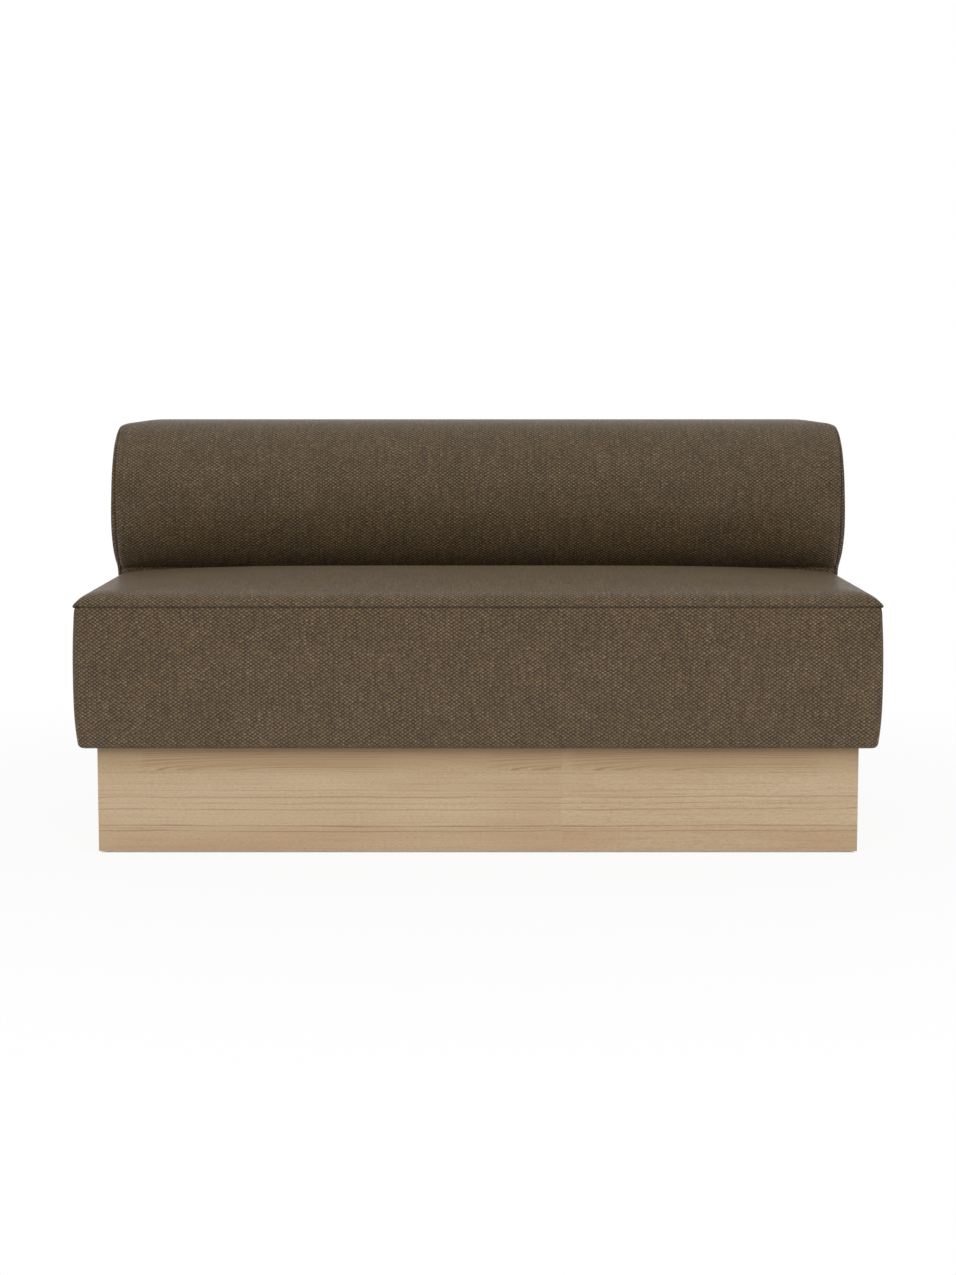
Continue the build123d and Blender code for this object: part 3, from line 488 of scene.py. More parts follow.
# How the covers' meshes are laid out, and how each seam tucks in
cover = {
    "step": 0.013,
    "seamRows": (0.0, 0.0008, 0.0018, 0.0031, 0.005, 0.008, 0.0125, 0.019),
    "tuckDepth": 0.004,
    "grooveDepth": 0.0021,
    "grooveWidth": 0.005,
    "foldReach": 0.0002,
    "puff": 0.0009,
    "puffPlace": 0.010,
    "puffReach": 0.009,
    "gap": 0.00005,
    "thickness": 0.0012,
    "puckerHeight": 0.0005,
    "puckerStart": 0.004,
    "puckerReach": 0.020,
    "puckerLength": 0.030,
    "puckerSkew": 12,
    "searchReach": 0.006,
}


def rowsBetween(length, step, seamStart, seamEnd):
    seam = [-cover["tuckDepth"], *cover["seamRows"]]
    start = seam if seamStart else [0.0]
    end = [length - d for d in reversed(seam)] if seamEnd else [length]
    count = max(2, round((end[0] - start[-1]) / step))
    middle = [start[-1] + (end[0] - start[-1]) * k / count for k in range(1, count)]
    return start + middle + end


def grooveAt(distance, width=cover["grooveWidth"], depth=cover["grooveDepth"]):
    # How far the cloth lies inward: down into the seam, and a little outward beside it
    if distance < 0:
        return depth - distance
    puff = math.exp(-((distance - cover["puffPlace"]) / cover["puffReach"]) ** 2)
    puff *= min(1.0, distance / cover["grooveWidth"])
    return depth * max(0.0, 1 - distance / width) ** 2 - cover["puff"] * puff


def puckerAt(along, distance, seed):
    clear = max(distance, 0.0)
    fade = math.exp(-clear / cover["puckerReach"]) * min(1.0, clear / cover["puckerStart"])
    wave = noise.noise(Vector((along / cover["puckerLength"], seed, distance * cover["puckerSkew"])))
    return cover["puckerHeight"] * fade * wave


def turned(vector, angle):
    cosine, sine = math.cos(angle), math.sin(angle)
    return Vector((vector.x * cosine - vector.y * sine, vector.x * sine + vector.y * cosine))


def arcPoints(start, direction, end, count=24):
    # The arc that leaves start along direction and reaches end, and its last direction
    start, direction, end = Vector(start), Vector(direction), Vector(end)
    side = Vector((-direction.y, direction.x))
    chord = end - start
    turn = 2 * math.atan2(chord.dot(side), chord.dot(direction))
    if abs(turn) < 1e-6:
        return [start.lerp(end, k / count) for k in range(count + 1)], direction
    centre = start + side * (chord.length_squared / (2 * chord.dot(side)))
    points = [centre + turned(start - centre, turn * k / count) for k in range(count + 1)]
    return points, turned(direction, turn)


def lengthsOf(points):
    steps = [(b - a).length for a, b in zip(points, points[1:])]
    return np.concatenate([[0.0], np.cumsum(steps)])


def pointsAt(points, distances):
    lengths = lengthsOf(points)
    table = np.array([tuple(p) for p in points])
    return np.stack([np.interp(distances, lengths, table[:, k]) for k in range(2)], 1)


def smoothMin(a, b, width):
    share = np.maximum(width - np.abs(a - b), 0.0) / width
    return np.minimum(a, b) - share * share * width / 4


def eased(value, start, end):
    share = min(1.0, max(0.0, (value - start) / (end - start)))
    return share * share * (3 - 2 * share)


def makeSurface(name, points, flat, distances, closed, flip, creaseReach):
    # points, flat and distances are grids of places, cloth coordinates and distances from a seam
    rows, columns = points.shape[:2]
    ring = columns - 1 if closed else columns
    faces, corners = [], []
    for i in range(rows - 1):
        for j in range(columns - 1):
            quad = [(i, j), (i, j + 1), (i + 1, j + 1), (i + 1, j)]
            quad = quad[::-1] if flip else quad
            faces.append([r * ring + c % ring for r, c in quad])
            corners.extend(tuple(flat[r, c]) for r, c in quad)
    mesh = bpy.data.meshes.new(name)
    mesh.from_pydata([tuple(v) for v in points[:, :ring].reshape(-1, 3)], [], faces)
    layer = mesh.uv_layers.new(name="clothMetres")
    layer.data.foreach_set("uv", np.array(corners, np.float32).ravel())
    mesh.polygons.foreach_set("use_smooth", [True] * len(mesh.polygons))
    mesh.update()
    # "crease" is painted shade that darkens the cloth down in the seam, and "crease_edge" keeps the fold sharp
    # when it is smoothed
    near = distances[:, :ring].ravel()
    folded = np.abs(near) < cover["foldReach"]
    values = {
        "crease": ("POINT", np.exp(-(np.maximum(near, 0) / creaseReach) ** 2)),
        "flap": ("POINT", near < 0),
        "crease_edge": ("EDGE", [folded[e.vertices[0]] and folded[e.vertices[1]] for e in mesh.edges]),
    }
    for label, (domain, numbers) in values.items():
        attribute = mesh.attributes.new(label, "FLOAT", domain)
        attribute.data.foreach_set("value", np.array(numbers, np.float32))
    piece = bpy.data.objects.new(name, mesh)
    scene.collection.objects.link(piece)
    return piece


# Settling: a short cloth simulation under a light inner pressure, held at the seams
settle = {
    "frames": 14,
    "inwardMost": 0.0003,
    "cloth": {
        "quality": 6, "mass": 0.35, "tension_stiffness": 18.0, "compression_stiffness": 18.0,
        "bending_stiffness": 1.2, "use_pressure": True, "uniform_pressure_force": 0.6,
        "vertex_group_mass": "held",
    },
}


def numbersOf(vertices, kind):
    numbers = np.zeros(len(vertices) * 3)
    vertices.foreach_get(kind, numbers)
    return numbers.reshape(-1, 3)


def settleCloth(piece, held, most):
    trial = piece.copy()
    trial.data = piece.data.copy()
    scene.collection.objects.link(trial)
    group = trial.vertex_groups.new(name="held")
    group.add([int(k) for k in np.nonzero(held)[0]], 1.0, "REPLACE")
    fabric = trial.modifiers.new("settle", "CLOTH")
    for key, value in settle["cloth"].items():
        setattr(fabric.settings, key, value)
    fabric.settings.effector_weights.gravity = 0.0
    fabric.point_cache.frame_start = 1
    fabric.point_cache.frame_end = settle["frames"]
    for number in range(1, settle["frames"] + 1):
        scene.frame_set(number)
    shaped = trial.evaluated_get(bpy.context.evaluated_depsgraph_get()).to_mesh()
    before = numbersOf(piece.data.vertices, "co")
    move = numbersOf(shaped.vertices, "co") - before
    facing = numbersOf(piece.data.vertices, "normal")
    inward = np.minimum((move * facing).sum(1, keepdims=True) + settle["inwardMost"], 0)
    move = move - facing * inward
    size = np.linalg.norm(move, axis=1, keepdims=True)
    capped = move * (most * np.tanh(size / most) / np.maximum(size, 1e-9))
    print(piece.name, "settled by up to", round(1000 * float(size.max()), 2), "mm, kept",
          round(1000 * float(np.linalg.norm(capped, axis=1).max()), 2), "mm")
    piece.data.vertices.foreach_set("co", (before + capped).astype(np.float32).ravel())
    piece.data.update()
    bpy.data.objects.remove(trial)
    scene.frame_set(1)


def keepOutside(piece, layers, clearance):
    # Lifts the cloth wherever the soft layers under it would come through
    vertices, faces = [], []
    for name in layers:
        layer = bpy.data.objects[name]
        first = len(vertices)
        vertices.extend(layer.matrix_world @ vertex.co for vertex in layer.data.vertices)
        faces.extend([first + k for k in polygon.vertices] for polygon in layer.data.polygons)
    tree = BVHTree.FromPolygons(vertices, faces)
    lifted, most = 0, 0.0
    for vertex, flap in zip(piece.data.vertices, piece.data.attributes["flap"].data):
        spot, outward, _, _ = tree.find_nearest(vertex.co, cover["searchReach"])
        if spot is None or flap.value > 0.5:
            continue
        short = clearance - (vertex.co - spot).dot(outward)
        if short > 0:
            vertex.co += outward * short
            lifted, most = lifted + 1, max(most, short)
    print(piece.name, lifted, "places lifted by up to", round(most * 1000, 2), "mm")


def finishCover(piece, nodeName, settings):
    keepOutside(piece, settings["layers"], settings["clearance"])
    piece.data.materials.append(slotMaterials["woven_cloth"])
    smooth = piece.modifiers.new("smooth", "SUBSURF")
    smooth.levels = 1
    smooth.render_levels = 1
    thick = piece.modifiers.new("thickness", "SOLIDIFY")
    thick.thickness = cover["thickness"]
    thick.offset = -1.0
    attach(piece, "root")
    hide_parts(nodeName)


def makeCover(name, nodeName, grids, most, settings, closed=False, flip=False):
    points, flat, held, distances = (np.array(grid) for grid in grids)
    piece = makeSurface(name, points, flat, distances, closed, flip, settings["creaseReach"])
    settleCloth(piece, (held[:, :-1] if closed else held).ravel(), most)
    finishCover(piece, nodeName, settings)
    return piece


def foldLoop(piece, row, count):
    # The seam's fold on a closed surface, once round
    spots = [piece.data.vertices[row * count + k].co.copy() for k in range(count)]
    return spots + spots[:1]


# Seat cushion: a crowned top sewn to a boxing that bulges a little
seatLow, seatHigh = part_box("seat_boxing")
topLow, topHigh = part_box("seat_top_panel")
seat = {
    "edgeRun": 0.022,
    "edgeRise": 0.0204,
    "rearRise": 0.026,
    "crestRise": topHigh.z - topLow.z - 0.0005,
    "crossRise": 0.0505,
    "crestBack": 0.280,
    "ridgeBlend": 0.008,
    "cornerBlend": 0.2,
    "seamCorner": 0.003,
    "sideCorner": 0.012,
    "cornerFade": 0.060,
    "cornerSteps": 6,
    "footCorner": 0.0045,
    "footShrink": 2.1,
    "bottomRadius": 0.0125,
    "bottomSteps": 4,
    "plump": 0.0014,
    "bulgePower": 3,
    "lip": 0.0025,
    "lowerGroove": 0.0026,
    "underWrap": 0.060,
    "underSteps": 3,
    "ear": 0.0030,
    "earPlace": 0.004,
    "earReach": 0.010,
    "sideEar": 0.0009,
    "sideEarReach": 0.005,
    "puckerSeeds": (3.1, 7.7, 11.3),
    "wobbleBeyond": (0.66, 0.22),
    "rearHeld": 0.02,
    "creaseReach": 0.0017,
    "topPressing": 0.0012,
    "sidePressing": 0.0008,
    "clearance": 0.0007,
    "fill": 0.9,
    "layers": ("seat_wadding", "seat_foam_core", "seat_front_padding", "seat_left_padding", "seat_right_padding"),
}
seamHeight = topLow.z
seatSeam = {"side": topHigh.x, "front": topLow.y, "rear": topHigh.y}


def halfCrown(crest, way, seam, rise):
    # A wide arc from the crest, a tighter one to the seam, and the lip below it
    wide, turn = arcPoints(crest, (way, 0), (seam - way * seat["edgeRun"], rise))
    return wide[:-1] + arcPoints(wide[-1], turn, (seam, 0))[0] + [Vector((seam, -seat["lip"]))]


def makeSeatTop():
    crest = (seatLow.y + seat["crestBack"], seat["crestRise"])
    front = halfCrown(crest, -1, seatSeam["front"], seat["edgeRise"])
    rear = halfCrown(crest, 1, seatSeam["rear"], seat["rearRise"])
    half = halfCrown((0, seat["crossRise"]), 1, seatSeam["side"], seat["edgeRise"])
    sideView = front[:0:-1] + rear
    frontView = [Vector((-p.x, p.y)) for p in half[:0:-1]] + half
    depth, width = lengthsOf(sideView)[-1], lengthsOf(frontView)[-1]
    downs = rowsBetween(depth, cover["step"], True, True)
    acrosses = rowsBetween(width, cover["step"], True, True)
    sideTable, frontTable = pointsAt(sideView, downs), pointsAt(frontView, acrosses)
    shape = (len(downs), len(acrosses))
    points, flat, distances = np.zeros((*shape, 3)), np.zeros((*shape, 2)), np.zeros(shape)
    place, reach = seat["earPlace"], seat["earReach"]
    seedX, seedY, _ = seat["puckerSeeds"]
    for i, down in enumerate(downs):
        for j, across in enumerate(acrosses):
            x, y = frontTable[j, 0], sideTable[i, 0]
            sideRise, frontRise = sideTable[i, 1], frontTable[j, 1]
            blend = min(seat["ridgeBlend"], max(seat["cornerBlend"] * min(sideRise, frontRise), 1e-6))
            z = max(float(smoothMin(sideRise, frontRise, blend)), cover["gap"] - seat["lip"])
            nearX, nearY = min(across, width - across), min(down, depth - down)
            wayX, wayY = (1 if across < width - across else -1), (1 if down < depth - down else -1)
            ear = seat["ear"] * math.exp(-(((nearX - place) / reach) ** 2 + ((nearY - place) / reach) ** 2))
            x += wayX * (grooveAt(nearX) - puckerAt(y, nearX, seedX) - ear)
            y += wayY * (grooveAt(nearY) - puckerAt(x, nearY, seedY) - ear)
            points[i, j] = x, y, seamHeight + z
            flat[i, j] = across - width / 2, down
            distances[i, j] = min(nearX, nearY)
    grids = (points, flat, distances <= cover["grooveWidth"], distances)
    makeCover("seat_top_cover", "seat_top_panel", grids, seat["topPressing"], seat)


def roundedLoop(half, front, rear, radius, across, deep, arcSteps):
    # Points round a rounded rectangle, from the middle of the rear, clockwise as seen from above,
    # and how near each one is to the middle of its corner
    x, f, r = half - radius, front + radius, rear - radius
    sides = (
        ((0, rear), (x, rear), across // 2, (x, r)),
        ((half, r), (half, f), deep, (x, f)),
        ((x, front), (-x, front), across, (-x, f)),
        ((-half, f), (-half, r), deep, (-x, r)),
        ((-x, rear), (0, rear), across // 2, None),
    )
    points, corners = [], []
    for number, (start, end, count, centre) in enumerate(sides):
        points += [tuple(a + (b - a) * k / count for a, b in zip(start, end)) for k in range(count)]
        corners += [0.0] * count
        for k in range(arcSteps if centre else 0):
            angle = math.pi / 2 * (1 - number - k / arcSteps)
            points.append((centre[0] + radius * math.cos(angle), centre[1] + radius * math.sin(angle)))
            corners.append(math.sin(math.pi * k / arcSteps))
    return np.array(points + points[:1]), np.array(corners + [0.0])


def makeSeatSide():
    middle = (seatLow.z + seamHeight) / 2
    reach = (seamHeight - seatLow.z) / 2
    radius = seat["bottomRadius"]
    sideTop = seamHeight - seat["lip"]
    faceLength = sideTop - seatLow.z - radius
    bendLength = radius * math.pi / 2
    downs = rowsBetween(faceLength, cover["step"], True, False)
    for length, count in ((bendLength, seat["bottomSteps"]), (seat["underWrap"] - radius, seat["underSteps"])):
        downs += [downs[-1] + length * k / count for k in range(1, count + 1)]
    across = 2 * round(seatSeam["side"] / cover["step"])
    deep = round((seatSeam["rear"] - seatSeam["front"]) / cover["step"])
    sideBulge = seatHigh.x - seatSeam["side"] + seat["plump"]
    frontBulge = seatSeam["front"] - seatLow.y + seat["plump"]
    points, held = [], []
    spread = None
    for down in downs:
        z = sideTop - max(down, cover["gap"])
        inward = 0.0
        if down > faceLength:
            angle = min((down - faceLength) / radius, math.pi / 2)
            inward = radius * (1 - math.cos(angle)) + max(0.0, down - faceLength - bendLength)
            z = seatLow.z + radius * (1 - math.sin(angle))
        swell = max(0.0, 1 - abs((max(z, seatLow.z + radius) - middle) / reach) ** seat["bulgePower"])
        share = min(1.0, max(down, 0) / seat["cornerFade"])
        corner = seat["seamCorner"] + (seat["sideCorner"] - seat["seamCorner"]) * share
        corner = max(min(corner, seat["footCorner"]), corner - seat["footShrink"] * inward)
        draw = inward + grooveAt(down, seat["lowerGroove"])
        loop, bends = roundedLoop(
            seatSeam["side"] + sideBulge * swell - draw,
            seatSeam["front"] - frontBulge * swell + draw,
            seatSeam["rear"] - draw + min(inward, radius), corner, across, deep, seat["cornerSteps"])
        ear = seat["sideEar"] * math.exp(-(max(down, 0.0) / seat["sideEarReach"]) ** 2) * bends
        loop[:, 0] += ear * np.sign(loop[:, 0])
        loop[:, 1] += ear * np.where(loop[:, 1] < 0, -1, 1)
        # The cloth's coordinate round the boxing is its length at half height
        if spread is None or abs(down - reach) < abs(spread[0] - reach):
            spread = (down, lengthsOf([Vector(p) for p in loop]))
        wobble = np.array([puckerAt(p[0] + p[1], down, seat["puckerSeeds"][2]) for p in loop])
        centred = loop - np.array([0, (seatSeam["front"] + seatSeam["rear"]) / 2])
        loop = loop + np.sign(centred) * wobble[:, None] * (np.abs(centred) > np.array(seat["wobbleBeyond"]))
        points.append(np.column_stack([loop, np.full(len(loop), z)]))
        fixed = down <= cover["grooveWidth"] or down > faceLength
        held.append(np.full(len(loop), fixed) | (loop[:, 1] > seatSeam["rear"] - seat["rearHeld"]))
    flat = [np.column_stack([spread[1], np.full(len(spread[1]), -down)]) for down in downs]
    grids = (points, flat, held, np.repeat(np.array(downs)[:, None], len(spread[1]), 1))
    piece = makeCover("seat_side_cover", "seat_boxing", grids, seat["sidePressing"], seat, closed=True)
    return foldLoop(piece, 1, len(spread[1]) - 1)


makeSeatTop()
seatFold = makeSeatSide()
print("seat cushion covered")

# Back: a D-section roll over an upright neck, wrapped in one cloth, with an end panel each side.
# seamPlaces and fullPlaces give, by height, how far out the end seam and the end panel stand
backLow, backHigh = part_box("back_wrap_cover")
back = {
    "overhang": 0.067,
    "radius": 0.143,
    "shoulderBack": 0.0204,
    "shoulderDrop": 0.089,
    "undersideDrop": 0.1390,
    "rearRadius": 0.025,
    "footRadius": 0.006,
    "sectionSteps": {"rearCorner": 5, "frontFoot": 3, "rearFoot": 3},
    "foldStops": (0.0, 0.0015, 0.004, 0.009),
    "foldReach": 0.014,
    "foldHeld": 0.02,
    "seam": 0.6865,
    "seamPlaces": ((0.188, 0.6850), (0.465, 0.6858), (0.530, 0.6864), (0.690, 0.6866), (0.722, 0.6856),
                   (0.738, 0.6838)),
    "fullPlaces": ((0.188, 0.6910), (0.440, 0.6912), (0.500, 0.6952), (0.540, 0.6958), (0.587, 0.6950),
                   (0.615, 0.6940), (0.660, 0.6924), (0.694, 0.6919), (0.708, 0.6911), (0.722, 0.6902),
                   (0.7295, 0.6888), (0.738, 0.6873)),
    "endRun": 0.0865,
    "endDrop": 0.0084,
    "endDraw": 0.0050,
    "endBlend": 0.004,
    "plumpRun": 0.0044,
    "plumpMiddle": 0.0045,
    "plumpFrom": 0.03,
    "plumpTo": 0.11,
    "neckRun": 0.0042,
    "plumpFoot": 0.440,
    "plumpTop": 0.560,
    "panelColumns": 12,
    "fullWidth": 0.06,
    "flatFrom": 0.01,
    "flatTo": 0.06,
    "puckerSeed": 5.2,
    "pressing": 0.0005,
    "topSink": 0.0012,
    "grooveWidth": 0.0034,
    "grooveDepth": 0.0014,
    "creaseReach": 0.0009,
    "clearance": 0.0015,
    "fill": 0.85,
    "layers": ("back_foam", "back_left_padding", "back_right_padding"),
}
rollFront, rollTop = backLow.y, backHigh.z
centreHeight = rollTop - back["radius"]
neckFront = rollFront + back["overhang"]
junction = Vector((neckFront, centreHeight - back["undersideDrop"]))


def backSections():
    # The side outline in order: bottom, front foot, neck, underside, front, top, rear corner, rear, rear foot
    rear, foot = backHigh.y, backLow.z
    small, large = back["footRadius"], back["rearRadius"]
    front = (rollFront, centreHeight)
    crown = (rollFront + back["radius"], rollTop)
    shoulder = (rollFront + back["shoulderBack"], centreHeight - back["shoulderDrop"])
    lower, turn = arcPoints(front, (0, -1), shoulder)
    under = arcPoints(shoulder, turn, junction)[0]

    def line(start, end):
        return [Vector(start), Vector(end)]

    return {
        "bottom": line((rear - small, foot), (neckFront + small, foot)),
        "frontFoot": arcPoints((neckFront + small, foot), (-1, 0), (neckFront, foot + small), 6)[0],
        "neck": line((neckFront, foot + small), junction),
        "underside": (lower[:-1] + under)[::-1],
        "front": arcPoints(front, (0, 1), crown, 40)[0],
        "top": line(crown, (rear - large, rollTop)),
        "rearCorner": arcPoints((rear - large, rollTop), (1, 0), (rear, rollTop - large), 10)[0],
        "rear": line((rear, rollTop - large), (rear, foot + small)),
        "rearFoot": arcPoints((rear, foot + small), (0, -1), (rear - small, foot), 6)[0],
    }


def sectionStops(points, name):
    length = lengthsOf(points)[-1]
    steps = back["sectionSteps"].get(name, max(2, round(length / cover["step"])))
    stops = list(np.linspace(0, length, steps + 1))
    # The places close up at the fold, where the neck ends and the underside starts
    if name == "neck":
        close = [length - stop for stop in back["foldStops"]]
        return sorted([stop for stop in stops if stop <= length - back["foldReach"]] + close)
    if name == "underside":
        return sorted([stop for stop in stops if stop >= back["foldReach"]] + list(back["foldStops"]))
    return stops


def backProfile(sections):
    # Places round the outline, their outward directions, their distances and which of them are held
    places, travelled, fixed = [], [], []
    start = 0.0
    for name, points in sections.items():
        stops = sectionStops(points, name)
        spots = pointsAt(points, stops)
        first = 1 if places else 0
        rigid = name in ("bottom", "frontFoot", "rear", "rearFoot")
        for stop, spot in zip(stops[first:], spots[first:]):
            places.append(spot)
            travelled.append(start + stop)
            fixed.append(rigid or (Vector(spot) - junction).length < back["foldHeld"])
        start += stops[-1]
    places = np.array(places)
    ahead = np.roll(places, -1, 0) - places
    ahead[-1] = ahead[0]
    behind = places - np.roll(places, 1, 0)
    behind[0] = behind[-1]
    unit = sum(way / np.maximum(np.linalg.norm(way, axis=1, keepdims=True), 1e-9) for way in (ahead, behind))
    unit /= np.linalg.norm(unit, axis=1, keepdims=True)
    outward = np.column_stack([-unit[:, 1], unit[:, 0]])
    return places, outward, np.array(travelled), np.array(fixed)


def drawnIn(places, outward, x, extra):
    # The outline near an end: the top comes down and the front goes back
    share = max(0.0, (abs(x) - back["seam"] + back["endRun"]) / back["endRun"]) ** 2
    ring = places.copy()
    if share > 0:
        blend = back["endBlend"] * min(1.0, share * 4)
        ring[:, 1] = smoothMin(ring[:, 1], rollTop - share * back["endDrop"], blend)
        ring[:, 0] = -smoothMin(-ring[:, 0], -(rollFront + share * back["endDraw"]), blend)
    ring[:, 1] -= back["topSink"] * np.maximum(outward[:, 1], 0)
    return ring - outward * extra[:, None]


def seamAt(z):
    # The end seam stands out most round the roll's front, and lies back on the neck and the top
    return np.interp(z, *zip(*back["seamPlaces"]))


def makeBackWrap(sections):
    places, outward, travelled, fixed = backProfile(sections)
    length = 2 * back["seam"]
    acrosses = rowsBetween(length, cover["step"], True, True)
    points, flat, held = [], [], []
    for across in acrosses:
        x = min(max(across, 0.0), length) - back["seam"]
        near = min(across, length - across)
        if near <= 0:
            x -= math.copysign(cover["gap"], x)
        puckers = np.array([puckerAt(s, near, back["puckerSeed"]) for s in travelled])
        ring = drawnIn(places, outward, x, grooveAt(near, back["grooveWidth"], back["grooveDepth"]) - puckers)
        points.append(np.column_stack([x * seamAt(ring[:, 1]) / back["seam"], ring]))
        flat.append(np.column_stack([np.full(len(ring), x), travelled]))
        held.append(fixed | (near <= cover["grooveWidth"]))
    nears = np.minimum(acrosses, length - np.array(acrosses))
    grids = (points, flat, held, np.repeat(nears[:, None], len(travelled), 1))
    piece = makeCover("back_cover", "back_wrap_cover", grids, back["pressing"], back, closed=True, flip=True)
    count = len(travelled) - 1
    return foldLoop(piece, 1, count), foldLoop(piece, len(acrosses) - 2, count)


def panelPlump(z, distance, base):
    # How far the panel stands out from its seam: a quick rise at the edge, then a slow one up to the middle
    climb = eased(z, back["plumpFoot"], back["plumpTop"])
    full = float(np.interp(z, *zip(*back["fullPlaces"])))
    run = back["neckRun"] + (back["plumpRun"] - back["neckRun"]) * climb
    rise = math.sqrt(max(0.0, 1 - (1 - min(distance, run) / run) ** 2))
    middle = eased(distance, back["plumpFrom"], back["plumpTo"])
    return (full - base) * rise + back["plumpMiddle"] * climb * middle


def makeEndPanel(sections, sign, name, nodeName):
    places, outward, _, _ = backProfile(sections)
    outline = drawnIn(places, outward, back["seam"], np.zeros(len(places)))
    spans, start = {}, 0
    for key, points in sections.items():
        spans[key] = (start, start + len(sectionStops(points, key)) - 1)
        start = spans[key][1]
    frontEdge = [Vector(p) for p in outline[spans["frontFoot"][0]:spans["front"][1] + 1]]
    rearEdge = [Vector(p) for p in outline[spans["rearCorner"][0]:spans["rearFoot"][1] + 1]][::-1]
    frontLength, rearLength = lengthsOf(frontEdge)[-1], lengthsOf(rearEdge)[-1]
    ups = rowsBetween(frontLength, cover["step"], True, True)
    frontSpots = pointsAt(frontEdge, ups)
    rearSpots = pointsAt(rearEdge, [u * rearLength / frontLength for u in ups])
    fine = [-cover["tuckDepth"], *cover["seamRows"]]
    segments = outline[1:] - outline[:-1]
    squares = np.maximum((segments ** 2).sum(1), 1e-12)
    inwardAt = np.column_stack([segments[:, 1], -segments[:, 0]]) / np.sqrt(squares)[:, None]
    grids = points, flat, held, distances = [], [], [], []
    for up, a, b in zip(ups, frontSpots, rearSpots):
        width = float(np.linalg.norm(b - a))
        stops = [d * min(1.0, width / back["fullWidth"]) for d in fine]
        ends = [width - d for d in reversed(stops)]
        stops = stops + list(np.linspace(stops[-1], ends[0], back["panelColumns"] + 2))[1:-1] + ends
        for grid in grids:
            grid.append([])
        for stop in stops:
            spot = a + (b - a) * min(max(stop / width, 0.0), 1.0)
            share = np.clip(((spot - outline[:-1]) * segments).sum(1) / squares, 0, 1)
            gaps = np.linalg.norm(spot - (outline[:-1] + segments * share[:, None]), axis=1)
            closest = int(gaps.argmin())
            distance = float(gaps[closest])
            tucked = stop < 0 or stop > width or up < 0 or up > frontLength
            pull = back["grooveDepth"] + cover["tuckDepth"]
            if not tucked:
                pull = grooveAt(distance, back["grooveWidth"], back["grooveDepth"])
            y, z = spot + inwardAt[closest] * pull
            base = float(seamAt(z))
            swell = panelPlump(z, distance, base)
            out = base + cover["gap"] + (0.0 if tucked else swell)
            # Near the seam the cloth's coordinate follows the swell, so that the weave isn't stretched
            travel = math.hypot(distance, swell)
            fade = np.interp(distance, (back["flatFrom"], back["flatTo"]), (1.0, 0.0))
            flatY, flatZ = np.array([y, z]) + inwardAt[closest] * (travel - distance) * fade
            points[-1].append((sign * out, y, z))
            flat[-1].append((flatY * sign, flatZ))
            held[-1].append(tucked or distance <= cover["grooveWidth"])
            distances[-1].append(-1.0 if tucked else travel)
    makeCover(name, nodeName, grids, back["pressing"], back, flip=sign < 0)


sections = backSections()
leftFold, rightFold = makeBackWrap(sections)
makeEndPanel(sections, 1, "back_end_cover_right", "back_right_end_panel")
makeEndPanel(sections, -1, "back_end_cover_left", "back_left_end_panel")
print("back covered")

# Sewing thread: one short stitch after another, down in each seam. The shape gives each ring's place
# along the stitch and its share of the radius
stitch = {
    "pitch": 0.0050,
    "firstGap": 0.2,
    "length": 0.0036,
    "radius": 0.00035,
    "sides": 6,
    "shape": ((0.0, 0.25), (0.18, 0.9), (0.5, 1.0), (0.82, 0.9), (1.0, 0.25)),
}


def sewSeam(name, path):
    lengths = lengthsOf(path)
    table = np.array([tuple(p) for p in path])
    sides, shape = stitch["sides"], stitch["shape"]
    vertices, faces = [], []
    for number in range(int(lengths[-1] / stitch["pitch"])):
        start = (number + stitch["firstGap"]) * stitch["pitch"]
        ends = [start, start + stitch["length"]]
        a, b = (Vector([np.interp(e, lengths, table[:, k]) for k in range(3)]) for e in ends)
        along = (b - a).normalized()
        side = along.orthogonal().normalized()
        other = along.cross(side)
        first = len(vertices)
        for share, thickness in shape:
            for k in range(sides):
                angle = 2 * math.pi * k / sides
                ring = side * math.cos(angle) + other * math.sin(angle)
                vertices.append(a.lerp(b, share) + ring * (stitch["radius"] * thickness))
        for low in range(first, first + (len(shape) - 1) * sides, sides):
            for k in range(sides):
                following = (k + 1) % sides
                faces.append((low + k, low + following, low + following + sides, low + k + sides))
        last = first + (len(shape) - 1) * sides
        faces.append([first + k for k in reversed(range(sides))])
        faces.append([last + k for k in range(sides)])
    mesh = bpy.data.meshes.new(name)
    mesh.from_pydata([tuple(v) for v in vertices], [], faces)
    mesh.polygons.foreach_set("use_smooth", [True] * len(mesh.polygons))
    mesh.materials.append(slotMaterials["thread"])
    piece = bpy.data.objects.new(name, mesh)
    scene.collection.objects.link(piece)
    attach(piece, "root")


sewSeam("seat_seam_stitches", seatFold)
sewSeam("back_seam_stitches_left", leftFold)
sewSeam("back_seam_stitches_right", rightFold)
print("seams sewn")

# Studio: a pale floor, a sky that is brightest overhead and one wide soft lamp
studio = {
    "white": (1.0, 1.0, 1.0, 1.0),
    "skyLow": 0.20,
    "skyHigh": 0.80,
    "skyRise": 0.5,
    "behindFrom": 0.50,
    "behindTo": 0.90,
    "floorColour": (0.86, 0.86, 0.86, 1.0),
    "floorSize": 40.0,
    "floorWhite": 0.90,
    "fadeFrom": 0.9,
    "fadeTo": 2.2,
    "gapReach": 0.014,
    "gapOpenness": (0.04, 0.18),
    "lamp": {"place": (0.0, -4.6, 2.4), "aim": (0.0, 0.0, 0.4), "size": (4.0, 2.0), "power": 89.0},
}


def whiteForCamera(tree, glossyShare=1.0):
    rays = put(tree, "LightPath").outputs
    seen = calc(tree, "MAXIMUM", rays["Is Camera Ray"], times(tree, rays["Is Glossy Ray"], glossyShare))
    return calc(tree, "MAXIMUM", seen, rays["Is Transmission Ray"])


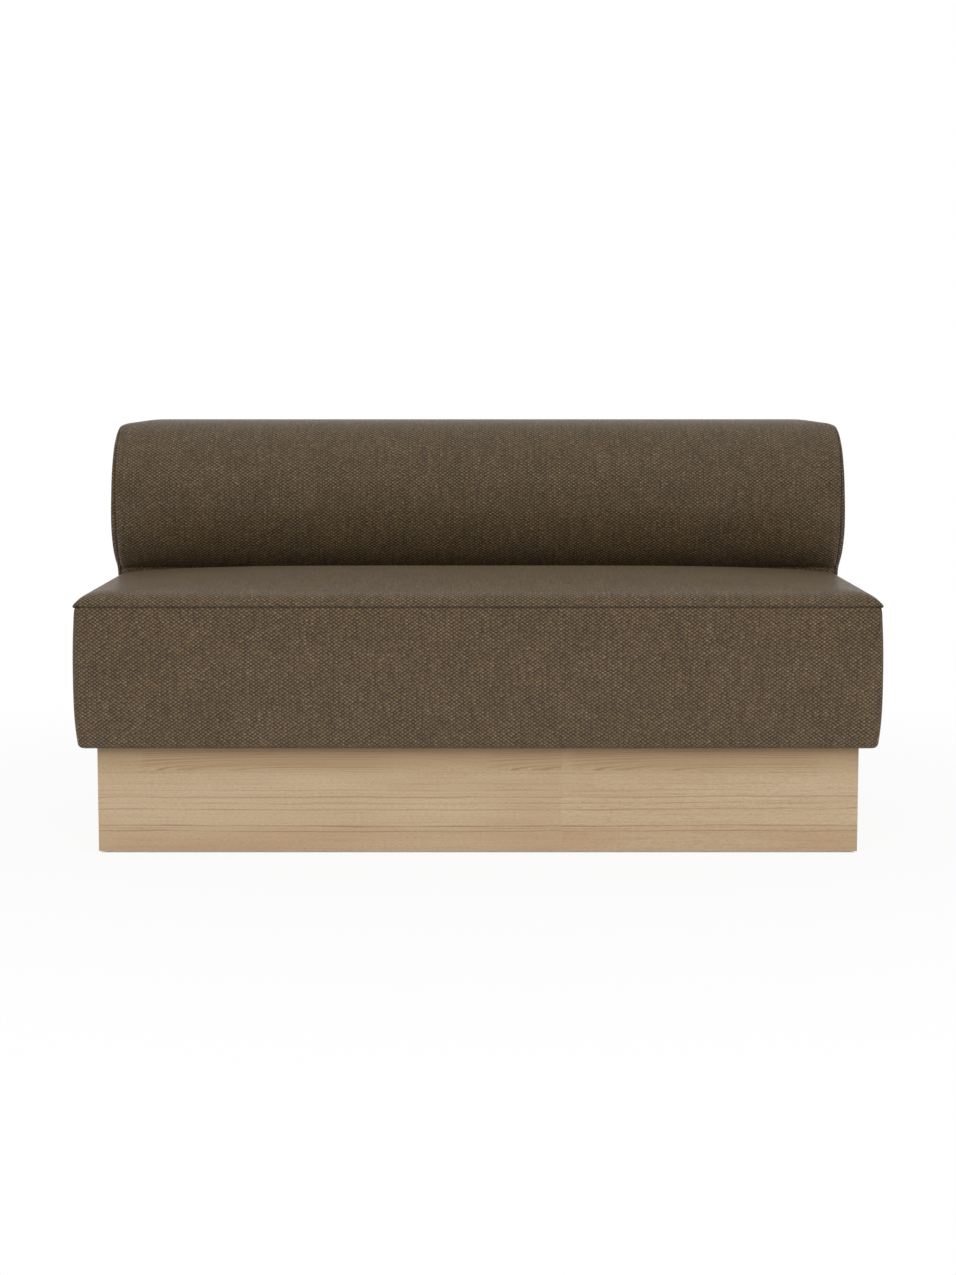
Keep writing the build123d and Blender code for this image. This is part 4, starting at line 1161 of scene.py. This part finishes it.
def makeSky(settings):
    world = bpy.data.worlds.new("studioSky")
    scene.world = world
    world.use_nodes = True
    tree = world.node_tree
    tree.nodes.clear()
    way = partsOf(tree, put(tree, "TexCoord").outputs["Generated"])
    rise = ramp(tree, way["Z"], 0.0, settings["skyRise"], settings["skyLow"], settings["skyHigh"], smooth=True)
    # The white backdrop mirrors in the cloth only where it stands, behind the sofa
    behind = ramp(tree, way["Y"], settings["behindFrom"], settings["behindTo"], smooth=True)
    light = put(tree, "Background", {"Color": settings["white"], "Strength": rise})
    white = put(tree, "Background", {"Color": settings["white"], "Strength": 1.0})
    mixed = put(tree, "MixShader", {0: whiteForCamera(tree, behind), 1: light.outputs[0], 2: white.outputs[0]})
    put(tree, "OutputWorld", {"Surface": mixed.outputs[0]})


def makeFloor(settings):
    half = settings["floorSize"] / 2
    mesh = bpy.data.meshes.new("studioFloor")
    mesh.from_pydata([(-half, -half, 0), (half, -half, 0), (half, half, 0), (-half, half, 0)], [], [(0, 1, 2, 3)])
    floor = bpy.data.objects.new("studioFloor", mesh)
    scene.collection.objects.link(floor)
    material, tree = newMaterial("studioFloor")
    matt = put(tree, "BsdfDiffuse", {"Color": settings["floorColour"]})
    white = put(tree, "Emission", {"Color": settings["white"], "Strength": 1.0})
    # The floor fades to the white backdrop further out, and stays dark under the plinth's edge
    away = put(tree, "VectorMath", {0: objectPlace(tree)}, operation="LENGTH").outputs["Value"]
    share = ramp(tree, away, settings["fadeFrom"], settings["fadeTo"], settings["floorWhite"], 1.0, smooth=True)
    openness = put(tree, "AmbientOcclusion", {"Distance": settings["gapReach"]}, samples=8).outputs["AO"]
    share = times(tree, share, ramp(tree, openness, *settings["gapOpenness"], smooth=True))
    share = times(tree, whiteForCamera(tree), share)
    mixed = put(tree, "MixShader", {0: share, 1: matt.outputs[0], 2: white.outputs[0]})
    put(tree, "OutputMaterial", {"Surface": mixed.outputs[0]})
    mesh.materials.append(material)


def makeLamp(name, settings):
    data = bpy.data.lights.new(name, "AREA")
    data.shape = "RECTANGLE"
    data.size, data.size_y = settings["size"]
    data.energy = settings["power"]
    lamp = bpy.data.objects.new(name, data)
    lamp.location = settings["place"]
    aim = Vector(settings["aim"]) - Vector(settings["place"])
    lamp.rotation_euler = aim.to_track_quat("-Z", "Y").to_euler()
    lamp.visible_camera = False
    lamp.visible_glossy = False
    scene.collection.objects.link(lamp)


makeSky(studio)
makeFloor(studio)
makeLamp("softLamp", studio["lamp"])
print("studio lit")
